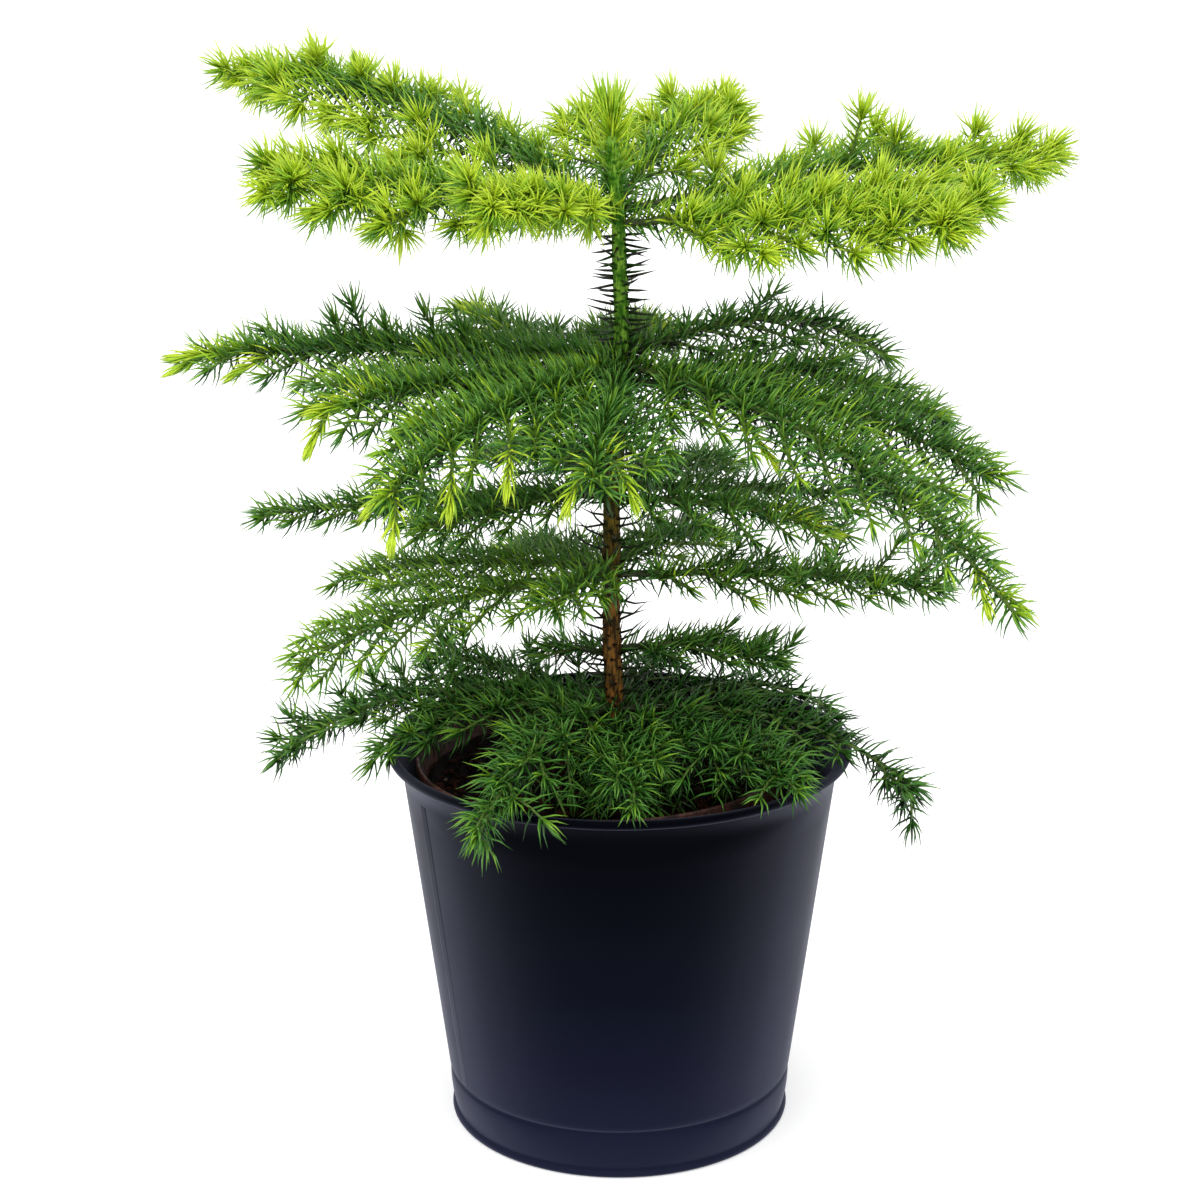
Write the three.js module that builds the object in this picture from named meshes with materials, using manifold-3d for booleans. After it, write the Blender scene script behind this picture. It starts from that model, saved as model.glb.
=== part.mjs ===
// A young norfolk island pine growing in a nursery pot, set inside a sheet-metal planter.
// Millimetres, +Z up. The origin is the centre of the planter's flat underside.

import * as THREE from 'three';
import { mergeVertices } from 'three/addons/utils/BufferGeometryUtils.js';
import Module from 'manifold-3d';

// ---------------------------------------------------------------- driving dimensions

const GAP = 0.3;                    // air left between two pieces that touch on the real plant

const PLANTER_HEIGHT = 127.5;
const PLANTER_RIM_RADIUS = 75;      // outside of the rolled lip: a 15 cm planter
const PLANTER_MOUTH_RADIUS = 71.2;  // outside of the wall where it turns into the lip
const PLANTER_BASE_RADIUS = 54.5;   // the wall's line carried down to the floor
const PLANTER_FOOT_RADIUS = 56;     // outside of the hem that it stands on
const PLANTER_WALL = 1.2;
const PLANTER_SIDES = 40;
const LIP_RADIUS = 1.5;             // roll of the lip
const FLARE_HEIGHT = 7;             // height over which the wall flares out to the lip
const FOOT_BAND_HEIGHT = 14.5;      // slightly bulging band between the hem and a groove
const GROOVE_DEPTH = 0.6;           // pressed groove above the foot band
const HEM_HEIGHT = 2.6;

const NURSERY_RIM_RADIUS = 60;      // a 12 cm nursery pot
const NURSERY_BASE_RADIUS = 44;
const NURSERY_RIM_Z = 122;
const NURSERY_WALL = 1.2;
const NURSERY_RIM_BAND = 9;
const NURSERY_SIDES = 30;
const NURSERY_CENTRE = [-6, 1];     // it stands a little off centre in the planter

const SOIL_Z = 112;

const TRUNK_FOOT_RADIUS = 4.1;
const TRUNK_FLARE_HEIGHT = 7;
const TRUNK_LOW_RADIUS = 3.1;
const TRUNK_TIP_RADIUS = 2;
const TRUNK_TIP_Z = 319;
const TRUNK_SIDES = 8;
const TOP_Z = 340;                  // tip of the leader's needles
// where the stem leans: height, then how far its centre lies along x and y
const TRUNK_LEAN = [
  [SOIL_Z, -1.5, 0], [144, -1.8, 0.3], [167, -2.6, 0.6], [204, -2.5, 0.4],
  [229, -0.8, 0], [264, 0.6, -0.4], [290, -0.2, 0], [322, -2.3, 0.4], [TOP_Z, -3.5, 0.6],
];

const LIMB_SHARE = 0.2;             // part of a bough's reach that is bare limb
const LIMB_RADIUS = 1.25;
const STEM_RADIUS = 0.95;
const TWIG_RADIUS = 0.7;
const TIP_RADIUS = 0.4;
const STEP = 8.9;                   // length of one twig segment, and of one needle spray's foot
const SHORTEST_TWIG = 10;
const LEAN = THREE.MathUtils.degToRad(62);   // a spray leans this far out from its twig
const LEADER_NEEDLE = 9;
const TRUNK_NEEDLE = 12;
const NEEDLED_STRETCH = [256, 292]; // heights between which the trunk still carries needles
const SPRAY_AIR = 1.1;              // air kept round a spray of another mass
const OWN_AIR = 0.4;                // and round a twig of its own mass

// One row per bough: whorl, direction seen from above (0 is +X, 90 is the back), height where it
// leaves the trunk, reach, lift of its straight line, sag of its tip, longest side twig,
// number of side-twig stations, needle length, and whether a bare limb carries its mass.
const BOUGHS = [
  ['top', 152, 299, 143, 59, 22, 32, 9, 8.5, true],
  ['top', 195, 295, 108, 27, 11, 38, 8, 8.5, true],
  ['top', -20, 294, 113, 15, 7, 36, 8, 8.5, true],
  ['top', 17, 298, 152, 25, 13, 30, 9, 8.5, true],
  ['top', 66, 300, 88, 42, 18, 26, 6, 8, false],
  ['top', 106, 302, 46, 30, 6, 16, 4, 8, false],
  ['top', -127, 298, 66, 18, 9, 22, 5, 8, false],
  ['upper', 174, 252, 146, 7, 10, 26, 9, 8, true],
  ['upper', -152, 247, 106, 8, 11, 34, 7, 8, true],
  ['upper', -124, 250, 122, -1, 21, 33, 8, 8, true],
  ['upper', -95, 246, 92, -2, 13, 30, 6, 8, false],
  ['upper', -22, 245.5, 124, 2, 26, 38, 8, 8, true],
  ['upper', -44, 251, 158, -12, 44, 30, 9, 8, true],
  ['upper', 27, 253.5, 105, 25, 39, 19, 7, 8, true],
  ['upper', 2, 248.8, 106, 6, 25, 30, 6, 8, false],
  ['upper', 82, 253, 70, 6, 8, 22, 5, 8, false],
  ['upper', 128, 249, 92, 4, -6, 22, 6, 8, false],
  ['middle', 186, 209, 116, 0, 4, 20, 7, 8, true],
  ['middle', 4, 212, 110, -4, 3, 22, 6, 8, true],
  ['middle', -35, 208, 86, 10, 11, 28, 5, 8, false],
  ['middle', -150, 212, 72, -3, 4, 22, 5, 8, false],
  ['middle', 62, 209, 88, 4, 10, 24, 5, 8, false],
  ['middle', 118, 212, 92, 4, 10, 24, 5, 8, false],
  ['lower', -152, 182, 112, 5, 22, 36, 7, 8, true],
  ['lower', 165, 185, 96, 1, 12, 25, 6, 8, false],
  ['lower', -110, 186, 56, 4, 5, 18, 4, 8, false],
  ['lower', -5, 183, 110, 5, 9, 21, 7, 8, true],
  ['lower', 66, 186, 90, 2, 12, 24, 5, 8, false],
  ['lower', 114, 182, 86, 2, 12, 24, 5, 8, false],
  ['low', 12, 158, 60, 3, 13, 19, 4, 8, false],
  ['low', 150, 156, 30, 2, 4, 11, 2, 8, false],
  ['foot', 172, 140, 117, 13, 41, 28, 7, 8.5, true],
  ['foot', -170, 137, 82, 16, 30, 22, 5, 9, false],
  ['foot', 146, 137, 76, 14, 6, 18, 5, 9, false],
  ['foot', -117, 139, 95, 14, 34, 16, 5, 9, false],
  ['foot', -86, 134, 62, 6, 8, 18, 4, 9, false],
  ['foot', -41, 136, 80, 4, 13, 20, 5, 9, false],
  ['foot', -8, 138, 103, 8, 36, 22, 5, 9, false],
  ['foot', 38, 136, 100, 9, 31, 22, 5, 9, false],
  ['foot', 76, 137, 72, 6, 8, 20, 4, 9, false],
].map(([whorl, turn, height, reach, lift, sag, twig, stations, needle, hasLimb], index) => ({
  whorl, turn: THREE.MathUtils.degToRad(turn), height, reach, lift, sag, twig, stations, needle,
  hasLimb, index,
}));

// How far a whorl's back twigs rise and its front twigs hang, as a share of their spread.
const FAN_RISE = { top: 0.24, upper: 0.42, middle: 0.12, lower: 0.15, low: 0.1, foot: 0 };
const FAN_HANG = { top: 0.36, upper: 0.45, middle: 0.12, lower: 0.15, low: 0.1, foot: 0 };

const UP = new THREE.Vector3(0, 0, 1);

// ---------------------------------------------------------------- solids

const wasm = await Module();
wasm.setup();

function toSolid(geometry) {
  const bare = geometry.clone();
  bare.deleteAttribute('normal');
  bare.deleteAttribute('uv');
  const merged = mergeVertices(bare, 1e-4);
  return new wasm.Manifold(new wasm.Mesh({
    numProp: 3,
    vertProperties: new Float32Array(merged.attributes.position.array),
    triVerts: new Uint32Array(merged.index.array),
  }));
}

function toGeometry(solid) {
  const mesh = solid.getMesh();
  const geometry = new THREE.BufferGeometry();
  geometry.setAttribute('position', new THREE.BufferAttribute(mesh.vertProperties, 3));
  geometry.setIndex(new THREE.BufferAttribute(mesh.triVerts, 1));
  return geometry;
}

// A tapering tube along points, closed at both ends. A spray of needles may rise from a face of
// it: sprays[i][k] is the spray's tip over face k of segment i, or nothing where the face is flat.
function tube(points, radii, sides, firstAngle, sprays = []) {
  const rings = ringsAlong(points, radii, sides, firstAngle);
  const vertices = rings.flat();
  const triangles = [];
  const at = (ring, side) => ring * sides + (side % sides);
  for (let i = 0; i < points.length - 1; i += 1) {
    for (let k = 0; k < sides; k += 1) {
      const quad = [at(i, k), at(i, k + 1), at(i + 1, k + 1), at(i + 1, k)];
      const tip = sprays[i]?.[k];
      if (tip) {
        const apex = vertices.push(tip) - 1;
        quad.forEach((corner, n) => triangles.push(corner, quad[(n + 1) % 4], apex));
      } else {
        triangles.push(quad[0], quad[1], quad[2], quad[0], quad[2], quad[3]);
      }
    }
  }
  const last = points.length - 1;
  for (let k = 1; k < sides - 1; k += 1) {
    triangles.push(at(0, 0), at(0, k + 1), at(0, k));
    triangles.push(at(last, 0), at(last, k), at(last, k + 1));
  }
  const geometry = new THREE.BufferGeometry();
  geometry.setAttribute('position', new THREE.Float32BufferAttribute(
    vertices.flatMap((v) => v.toArray()), 3));
  geometry.setIndex(triangles);
  return geometry;
}

// Corners of each ring of a tube, square to the line, with no twist from one ring to the next.
function ringsAlong(points, radii, sides, firstAngle) {
  let side = null;
  return points.map((point, i) => {
    const ahead = points[Math.min(i + 1, points.length - 1)];
    const behind = points[Math.max(i - 1, 0)];
    const forward = ahead.clone().sub(behind).normalize();
    if (!side) side = forward.clone().cross(forward.z > 0.9 ? new THREE.Vector3(0, 1, 0) : UP);
    side.addScaledVector(forward, -side.dot(forward)).normalize();
    const other = forward.clone().cross(side);
    return Array.from({ length: sides }, (_, k) => {
      const angle = firstAngle + (2 * Math.PI * k) / sides;
      return point.clone()
        .addScaledVector(side, radii[i] * Math.cos(angle))
        .addScaledVector(other, radii[i] * Math.sin(angle));
    });
  });
}

// ---------------------------------------------------------------- planter, nursery pot, soil

function lathe(profile, sides) {
  const geometry = new THREE.LatheGeometry(profile.map(([r, z]) => new THREE.Vector2(r, z)), sides);
  geometry.rotateX(Math.PI / 2);
  return geometry;
}

const planterRadius = (z) => (
  PLANTER_BASE_RADIUS + ((PLANTER_MOUTH_RADIUS - PLANTER_BASE_RADIUS) * z) / PLANTER_HEIGHT
);

// Sheet-metal planter: flat base, hemmed foot, bulging band under a pressed groove, tapered wall,
// and a flared lip rolled outwards.
function planter() {
  const lipX = PLANTER_RIM_RADIUS - LIP_RADIUS;
  const lipZ = PLANTER_HEIGHT - LIP_RADIUS;
  const outside = [
    [0, 0],
    [PLANTER_FOOT_RADIUS - 0.7, 0],
    [PLANTER_FOOT_RADIUS, 0.9],
    [PLANTER_FOOT_RADIUS, HEM_HEIGHT - 0.6],
    [planterRadius(HEM_HEIGHT) + 0.3, HEM_HEIGHT],
    [planterRadius(FOOT_BAND_HEIGHT / 2) + 0.5, FOOT_BAND_HEIGHT / 2],
    [planterRadius(FOOT_BAND_HEIGHT) + 0.1, FOOT_BAND_HEIGHT],
    [planterRadius(FOOT_BAND_HEIGHT) - GROOVE_DEPTH, FOOT_BAND_HEIGHT + 1.2],
    [planterRadius(FOOT_BAND_HEIGHT + 2.6), FOOT_BAND_HEIGHT + 2.6],
    [planterRadius(PLANTER_HEIGHT - FLARE_HEIGHT), PLANTER_HEIGHT - FLARE_HEIGHT],
    [lipX - 0.9, lipZ - LIP_RADIUS],
  ];
  const lip = [-45, 20, 90, 140].map((degrees) => {
    const angle = THREE.MathUtils.degToRad(degrees);
    return [lipX + LIP_RADIUS * Math.cos(angle), lipZ + LIP_RADIUS * Math.sin(angle)];
  });
  const inside = [
    [lipX - LIP_RADIUS, lipZ],
    [planterRadius(PLANTER_HEIGHT - FLARE_HEIGHT) - PLANTER_WALL, PLANTER_HEIGHT - FLARE_HEIGHT],
    [planterRadius(FOOT_BAND_HEIGHT) - 2 * PLANTER_WALL, FOOT_BAND_HEIGHT],
    [PLANTER_BASE_RADIUS - 2 * PLANTER_WALL, PLANTER_WALL],
    [0, PLANTER_WALL],
  ];
  return lathe([...outside, ...lip, ...inside], PLANTER_SIDES);
}

const NURSERY_FLOOR_Z = PLANTER_WALL + GAP;

const nurseryRadius = (z) => NURSERY_BASE_RADIUS + (
  (NURSERY_RIM_RADIUS - 1.6 - NURSERY_BASE_RADIUS) * (z - NURSERY_FLOOR_Z)
) / (NURSERY_RIM_Z - NURSERY_FLOOR_Z);

// Thin plastic pot with a stepped rim band.
function nurseryPot() {
  const bandZ = NURSERY_RIM_Z - NURSERY_RIM_BAND;
  return lathe([
    [0, NURSERY_FLOOR_Z],
    [NURSERY_BASE_RADIUS, NURSERY_FLOOR_Z],
    [nurseryRadius(bandZ), bandZ],
    [NURSERY_RIM_RADIUS - 0.6, bandZ + 0.4],
    [NURSERY_RIM_RADIUS, NURSERY_RIM_Z],
    [NURSERY_RIM_RADIUS - NURSERY_WALL, NURSERY_RIM_Z],
    [nurseryRadius(bandZ + 1) - NURSERY_WALL + 0.6, bandZ + 1.2],
    [nurseryRadius(bandZ) - NURSERY_WALL, bandZ],
    [NURSERY_BASE_RADIUS - NURSERY_WALL, NURSERY_FLOOR_Z + NURSERY_WALL],
    [0, NURSERY_FLOOR_Z + NURSERY_WALL],
  ], NURSERY_SIDES);
}

// The potting soil fills the nursery pot to just under its rim.
function soil() {
  const floor = NURSERY_FLOOR_Z + NURSERY_WALL + GAP;
  const wallGap = NURSERY_WALL + 2 * GAP;
  return lathe([
    [0, floor],
    [nurseryRadius(floor) - wallGap, floor],
    [nurseryRadius(SOIL_Z - 3) - wallGap, SOIL_Z - 3],
    [nurseryRadius(SOIL_Z) - wallGap - 5, SOIL_Z - GAP],
    [0, SOIL_Z - GAP],
  ], NURSERY_SIDES);
}

// True where a point with some air round it is outside both pots and the soil. Inside the
// planter only the hollow over the soil is free, and the room between the two pots is not.
function clearOfPots(point, air) {
  const fromAxis = Math.hypot(point.x, point.y);
  const underLip = point.z < PLANTER_HEIGHT - 2 * FLARE_HEIGHT;
  const outside = underLip ? planterRadius(point.z) : PLANTER_RIM_RADIUS;
  if (point.z > PLANTER_HEIGHT + air || fromAxis > outside + air) return true;
  const fromPotAxis = Math.hypot(point.x - NURSERY_CENTRE[0], point.y - NURSERY_CENTRE[1]);
  if (point.z > NURSERY_RIM_Z + air) return fromPotAxis < NURSERY_RIM_RADIUS;
  const overSoil = nurseryRadius(SOIL_Z) - NURSERY_WALL - 2 * air;
  return fromPotAxis < overSoil && point.z > SOIL_Z + air;
}

// ---------------------------------------------------------------- trunk

// A value that runs smoothly through rows of [height, value, ...].
function along(rows, z, column) {
  const next = Math.min(Math.max(rows.findIndex((row) => row[0] > z), 1), rows.length - 1);
  const [low, high] = [rows[next - 1], rows[next]];
  const share = THREE.MathUtils.smoothstep(z, low[0], high[0]);
  return THREE.MathUtils.lerp(low[column], high[column], share);
}

const trunkCentre = (z) => new THREE.Vector3(along(TRUNK_LEAN, z, 1), along(TRUNK_LEAN, z, 2), z);

function trunkRadius(z) {
  const share = (z - SOIL_Z) / (TRUNK_TIP_Z - SOIL_Z);
  const flare = Math.max(0, 1 - (z - SOIL_Z) / TRUNK_FLARE_HEIGHT);
  return THREE.MathUtils.lerp(TRUNK_LOW_RADIUS, TRUNK_TIP_RADIUS, share)
    + (TRUNK_FOOT_RADIUS - TRUNK_LOW_RADIUS) * flare ** 2;
}

// ---------------------------------------------------------------- the bough rule

// A seeded sequence of numbers from 0 to 1.
function sequence(seed) {
  let state = (seed * 7919 + 104729) % 2147483647;
  return () => {
    state = (state * 16807) % 2147483647;
    return state / 2147483647;
  };
}

// Point of a bough's line at share t of its reach: it lifts in a straight line and sags more and
// more towards its tip.
function boughPoint(bough, t) {
  const centre = trunkCentre(bough.height);
  const out = bough.reach * t;
  return new THREE.Vector3(
    centre.x + out * Math.cos(bough.turn),
    centre.y + out * Math.sin(bough.turn),
    bough.height + bough.lift * t - bough.sag * t ** 3,
  );
}

// Side twigs stand in two ranks, in a fan that rises at the back and hangs at the front. They are
// longest a third of the way out, point forwards, and their tips droop.
function twigLines(bough) {
  const random = sequence(bough.index + 1);
  const lines = [];
  for (let station = 0; station < bough.stations; station += 1) {
    for (const rank of [1, -1]) {
      const jitter = [random(), random(), random()];
      const t = 0.12 + (0.82 * (station + 0.5 + 0.25 * rank)) / bough.stations;
      const size = Math.min(1, t / 0.28) ** 0.6 * Math.min(1, (1.05 - t) / 0.6) ** 0.85;
      const length = bough.twig * size * (0.84 + 0.3 * jitter[0]);
      const spread = THREE.MathUtils.degToRad(60 - 20 * t + 14 * (jitter[1] - 0.5));
      const ahead = boughPoint(bough, Math.min(1, t + 0.02)).sub(boughPoint(bough, t - 0.02));
      ahead.normalize();
      const aside = UP.clone().cross(ahead).normalize().multiplyScalar(rank);
      const tilt = (aside.y > 0 ? FAN_RISE : FAN_HANG)[bough.whorl] * Math.min(1, 0.3 + t);
      aside.z = tilt * aside.y * (1.9 - 1.5 * jitter[2]);
      aside.normalize();
      lines.push({
        station, rank, length, root: boughPoint(bough, t), ahead, aside, spread,
        droop: 0.05 + 0.16 * jitter[2],
      });
    }
  }
  return lines;
}

// Point of a side twig, at a distance from its root. It bends forwards as it grows.
function twigPoint(twig, distance) {
  const share = distance / twig.length;
  const angle = twig.spread * (1 - 0.22 * share);
  return twig.root.clone()
    .addScaledVector(twig.ahead, distance * Math.cos(angle))
    .addScaledVector(twig.aside, distance * Math.sin(angle))
    .addScaledVector(UP, -twig.droop * twig.length * share ** 2);
}

// ---------------------------------------------------------------- the space each piece holds

const held = [];   // every straight piece so far: its owner and twig, its ends, its radius

function distanceBetween(a0, a1, b0, b1) {
  const u = a1.clone().sub(a0);
  const v = b1.clone().sub(b0);
  const w = a0.clone().sub(b0);
  const [uu, uv, vv, uw, vw] = [u.dot(u), u.dot(v), v.dot(v), u.dot(w), v.dot(w)];
  const cross = uu * vv - uv * uv;
  const clamp = (value) => Math.min(1, Math.max(0, value));
  let s = cross > 1e-9 ? clamp((uv * vw - vv * uw) / cross) : 0;
  let t = vv > 1e-9 ? clamp((uv * s + vw) / vv) : 0;
  s = uu > 1e-9 ? clamp((uv * t - uw) / uu) : 0;
  t = vv > 1e-9 ? clamp((uv * s + vw) / vv) : 0;
  return w.addScaledVector(u, s).addScaledVector(v, -t).length();
}

function hold(owner, twig, from, to, radius) {
  const middle = from.clone().add(to).multiplyScalar(0.5);
  held.push({ owner, twig, from, to, radius, middle, half: from.distanceTo(to) / 2 });
}

// True where a straight piece keeps its air to everything that another owner holds, to the pots
// and to the soil, and doesn't cross another twig of its own mass.
function isFree(owner, twig, from, to, radius, air) {
  const middle = from.clone().add(to).multiplyScalar(0.5);
  const half = from.distanceTo(to) / 2;
  for (const share of [0, 0.5, 1]) {
    if (!clearOfPots(from.clone().lerp(to, share), radius + air)) return false;
  }
  return held.every((piece) => {
    if (piece.owner === owner && piece.twig === twig) return true;
    const room = radius + piece.radius + (piece.owner === owner ? OWN_AIR : air);
    if (piece.middle.distanceTo(middle) > piece.half + half + room) return true;
    return distanceBetween(from, to, piece.from, piece.to) > room;
  });
}

// ---------------------------------------------------------------- limbs and stems

for (let z = SOIL_Z; z < TRUNK_TIP_Z; z += 4) {
  const top = Math.min(z + 4, TRUNK_TIP_Z);
  hold('trunk', null, trunkCentre(z), trunkCentre(top), trunkRadius(z));
}

// Points from share start to share end of a bough, about a step apart.
function boughLine(bough, start, end) {
  const count = Math.max(2, Math.round((bough.reach * (end - start)) / STEP));
  return Array.from({ length: count + 1 }, (_, i) => (
    boughPoint(bough, THREE.MathUtils.lerp(start, end, i / count))));
}

for (const bough of BOUGHS) {
  const slope = Math.abs(bough.lift) / bough.reach;
  const atTrunk = (trunkRadius(bough.height) + GAP + LIMB_RADIUS * slope) / bough.reach;
  const gapShare = GAP / bough.reach;
  if (bough.hasLimb) {
    bough.limb = boughLine(bough, atTrunk, LIMB_SHARE);
    bough.stem = boughLine(bough, LIMB_SHARE + gapShare, 1);
  } else {
    bough.stem = boughLine(bough, atTrunk, 1);
  }
}

const taper = (points, from, to) => (
  points.map((_, i) => THREE.MathUtils.lerp(from, to, i / (points.length - 1))));

for (const bough of BOUGHS) {
  const pieces = [[bough.limb ?? [], LIMB_RADIUS, STEM_RADIUS], [bough.stem, STEM_RADIUS, TIP_RADIUS]];
  for (const [points, from, to] of pieces) {
    const radii = taper(points, from, to);
    for (let i = 0; i < points.length - 1; i += 1) {
      hold(bough, points, points[i], points[i + 1], radii[i]);
    }
  }
}

// ---------------------------------------------------------------- side twigs

// Every other twig of the rule is made here: the left rank at even stations, the right at odd.
for (const bough of BOUGHS) {
  bough.twigs = [];
  for (const twig of twigLines(bough)) {
    const chosen = (twig.rank > 0) === (twig.station % 2 === 0);
    if (!chosen || twig.length < SHORTEST_TWIG) continue;
    const count = Math.max(1, Math.round(twig.length / STEP));
    const points = [twigPoint(twig, 0)];
    for (let i = 1; i <= count; i += 1) {
      const next = twigPoint(twig, (twig.length * i) / count);
      const ownStem = i === 1 ? bough.stem : points;
      if (!isFree(bough, ownStem, points[i - 1], next, TWIG_RADIUS, 2 * GAP)) break;
      points.push(next);
    }
    if (points.length < 2) continue;
    for (let i = 0; i < points.length - 1; i += 1) {
      hold(bough, points, points[i], points[i + 1], TWIG_RADIUS);
    }
    bough.twigs.push(points);
  }
}

// ---------------------------------------------------------------- needles

// Foot and tip of a needle that stands on face k of segment i and leans out from the line.
function needleOn(rings, points, i, k, length, lean) {
  const next = (k + 1) % rings[i].length;
  const foot = [rings[i][k], rings[i][next], rings[i + 1][k], rings[i + 1][next]]
    .reduce((sum, corner) => sum.addScaledVector(corner, 0.25), new THREE.Vector3());
  const forward = points[i + 1].clone().sub(points[i]).normalize();
  const out = foot.clone().sub(points[i].clone().lerp(points[i + 1], 0.5));
  out.addScaledVector(forward, -out.dot(forward)).normalize();
  const tip = foot.clone()
    .addScaledVector(out, length * Math.sin(lean))
    .addScaledVector(forward, length * Math.cos(lean));
  return [foot, tip];
}

// Tips of the sprays over each face of each segment of a three-sided twig. A spray that would
// come near another mass, a limb, the trunk or a pot is left out.
function spraysOn(owner, points, radii, firstAngle, length, shares = [0, 0.33, 0.67, 1]) {
  const rings = ringsAlong(points, radii, 3, firstAngle);
  return points.slice(0, -1).map((from, i) => {
    const to = points[i + 1];
    return [0, 1, 2].map((k) => {
      const tip = needleOn(rings, points, i, k, length, LEAN)[1];
      const lines = shares.map((share) => [from.clone().lerp(to, share), tip]);
      const free = lines.every(([start, end]) => isFree(owner, points, start, end, 0, SPRAY_AIR));
      if (!free) return null;
      lines.forEach(([start, end]) => hold(owner, points, start, end, 0));
      return tip;
    });
  });
}

function needledTwig(owner, points, from, to, length, seed) {
  const radii = taper(points, from, to);
  const firstAngle = Math.PI / 6 + 0.5 * (sequence(seed + 1)() - 0.5);
  return tube(points, radii, 3, firstAngle, spraysOn(owner, points, radii, firstAngle, length));
}

function mass(bough) {
  let solid = toSolid(needledTwig(bough, bough.stem, STEM_RADIUS, TIP_RADIUS, bough.needle, 1));
  bough.twigs.forEach((points, i) => {
    const twig = needledTwig(bough, points, TWIG_RADIUS, TIP_RADIUS, bough.needle, i);
    solid = solid.add(toSolid(twig));
  });
  return toGeometry(solid);
}

// The leader: the upright shoot over the top whorl, with steep needles all round.
function leader() {
  const start = TRUNK_TIP_Z + GAP;
  const heights = [start, start + 4, start + 8, start + 12, TOP_Z - LEADER_NEEDLE * Math.cos(LEAN)];
  const points = heights.map(trunkCentre);
  return needledTwig('leader', points, TRUNK_TIP_RADIUS, TIP_RADIUS, LEADER_NEEDLE, 0);
}

// The trunk, with the long needles that its green stretch still carries: on every third face, a
// face further round on each segment.
function trunk() {
  const [needlesFrom, needlesTo] = NEEDLED_STRETCH;
  const every = (from, to, count) => (
    Array.from({ length: count }, (_, i) => THREE.MathUtils.lerp(from, to, i / count)));
  const heights = [
    ...every(SOIL_Z, SOIL_Z + TRUNK_FLARE_HEIGHT, 2),
    ...every(SOIL_Z + TRUNK_FLARE_HEIGHT, needlesFrom, 9),
    ...every(needlesFrom, needlesTo, 6),
    ...every(needlesTo, TRUNK_TIP_Z, 3),
    TRUNK_TIP_Z,
  ];
  const points = heights.map(trunkCentre);
  const radii = heights.map(trunkRadius);
  const rings = ringsAlong(points, radii, TRUNK_SIDES, 0);
  const sprays = heights.map((z, i) => Array.from({ length: TRUNK_SIDES }, (_, k) => {
    if (z < needlesFrom || z >= needlesTo || k % 3 !== i % 3) return null;
    const [foot, tip] = needleOn(rings, points, i, k, TRUNK_NEEDLE, Math.PI / 2);
    if (!isFree('trunk', null, foot, tip, TIP_RADIUS, SPRAY_AIR)) return null;
    hold('trunk', null, foot, tip, TIP_RADIUS);
    return tip;
  }));
  return tube(points, radii, TRUNK_SIDES, 0, sprays);
}

// ---------------------------------------------------------------- the assembly

const finish = (color, roughness, metalness = 0) => (
  new THREE.MeshStandardMaterial({ color, roughness, metalness }));
const materials = {
  planter: finish('#20222c', 0.45, 0.6),
  terracotta: finish('#6a3a2c', 0.7),
  soil: finish('#2b1a14', 0.95),
  bark: finish('#6f4f33', 0.85),
  limb: finish('#4f6a2a', 0.7),
  lime: finish('#8fbe1e', 0.6),
  green: finish('#3f7a26', 0.6),
};

const group = new THREE.Group();

const potPlace = new THREE.Group();
potPlace.position.set(NURSERY_CENTRE[0], NURSERY_CENTRE[1], 0);
group.add(potPlace);

function addMesh(name, geometry, material, parent = group) {
  const mesh = new THREE.Mesh(geometry, material);
  mesh.name = name;
  parent.add(mesh);
}

addMesh('planter', planter(), materials.planter);
addMesh('nursery_pot', nurseryPot(), materials.terracotta, potPlace);
addMesh('soil', soil(), materials.soil, potPlace);
addMesh('trunk', trunk(), materials.bark);

const countOf = {};
for (const bough of BOUGHS) {
  countOf[bough.whorl] = (countOf[bough.whorl] ?? 0) + 1;
  bough.number = countOf[bough.whorl];
  if (bough.hasLimb) {
    const radii = taper(bough.limb, LIMB_RADIUS, STEM_RADIUS);
    addMesh(`${bough.whorl}_bough_${bough.number}`, tube(bough.limb, radii, 5, 0), materials.limb);
  }
}
for (const bough of BOUGHS) {
  const material = bough.whorl === 'top' ? materials.lime : materials.green;
  addMesh(`${bough.whorl}_mass_${bough.number}`, mass(bough), material);
}
addMesh('leader_mass', leader(), materials.lime);

export default group;
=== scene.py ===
import math

import bmesh
import bpy
import numpy as np
from mathutils import Matrix, Vector, noise


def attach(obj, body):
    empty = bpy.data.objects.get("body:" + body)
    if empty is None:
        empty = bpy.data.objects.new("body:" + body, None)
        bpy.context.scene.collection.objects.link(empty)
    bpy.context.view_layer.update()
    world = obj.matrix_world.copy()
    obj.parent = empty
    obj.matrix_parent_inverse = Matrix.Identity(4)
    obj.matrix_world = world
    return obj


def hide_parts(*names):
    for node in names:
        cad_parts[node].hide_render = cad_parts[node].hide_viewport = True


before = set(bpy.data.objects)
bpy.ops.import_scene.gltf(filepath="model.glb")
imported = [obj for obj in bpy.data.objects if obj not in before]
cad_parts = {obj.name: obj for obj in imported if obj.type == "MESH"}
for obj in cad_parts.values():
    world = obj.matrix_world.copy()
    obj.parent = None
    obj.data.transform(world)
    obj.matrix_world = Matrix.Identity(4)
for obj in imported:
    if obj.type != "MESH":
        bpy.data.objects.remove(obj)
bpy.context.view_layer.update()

# ---------------------------------------------------------------- planter
# A planter of thin steel sheet: a cone rolled and lock-seamed down one side, a foot band pressed
# under a bead, a hemmed foot, and a mouth flared out to a rolled lip. It is powder coated inside
# and out, in a near black with a navy cast. Sizes are in millimetres here and in all sections.

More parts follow.
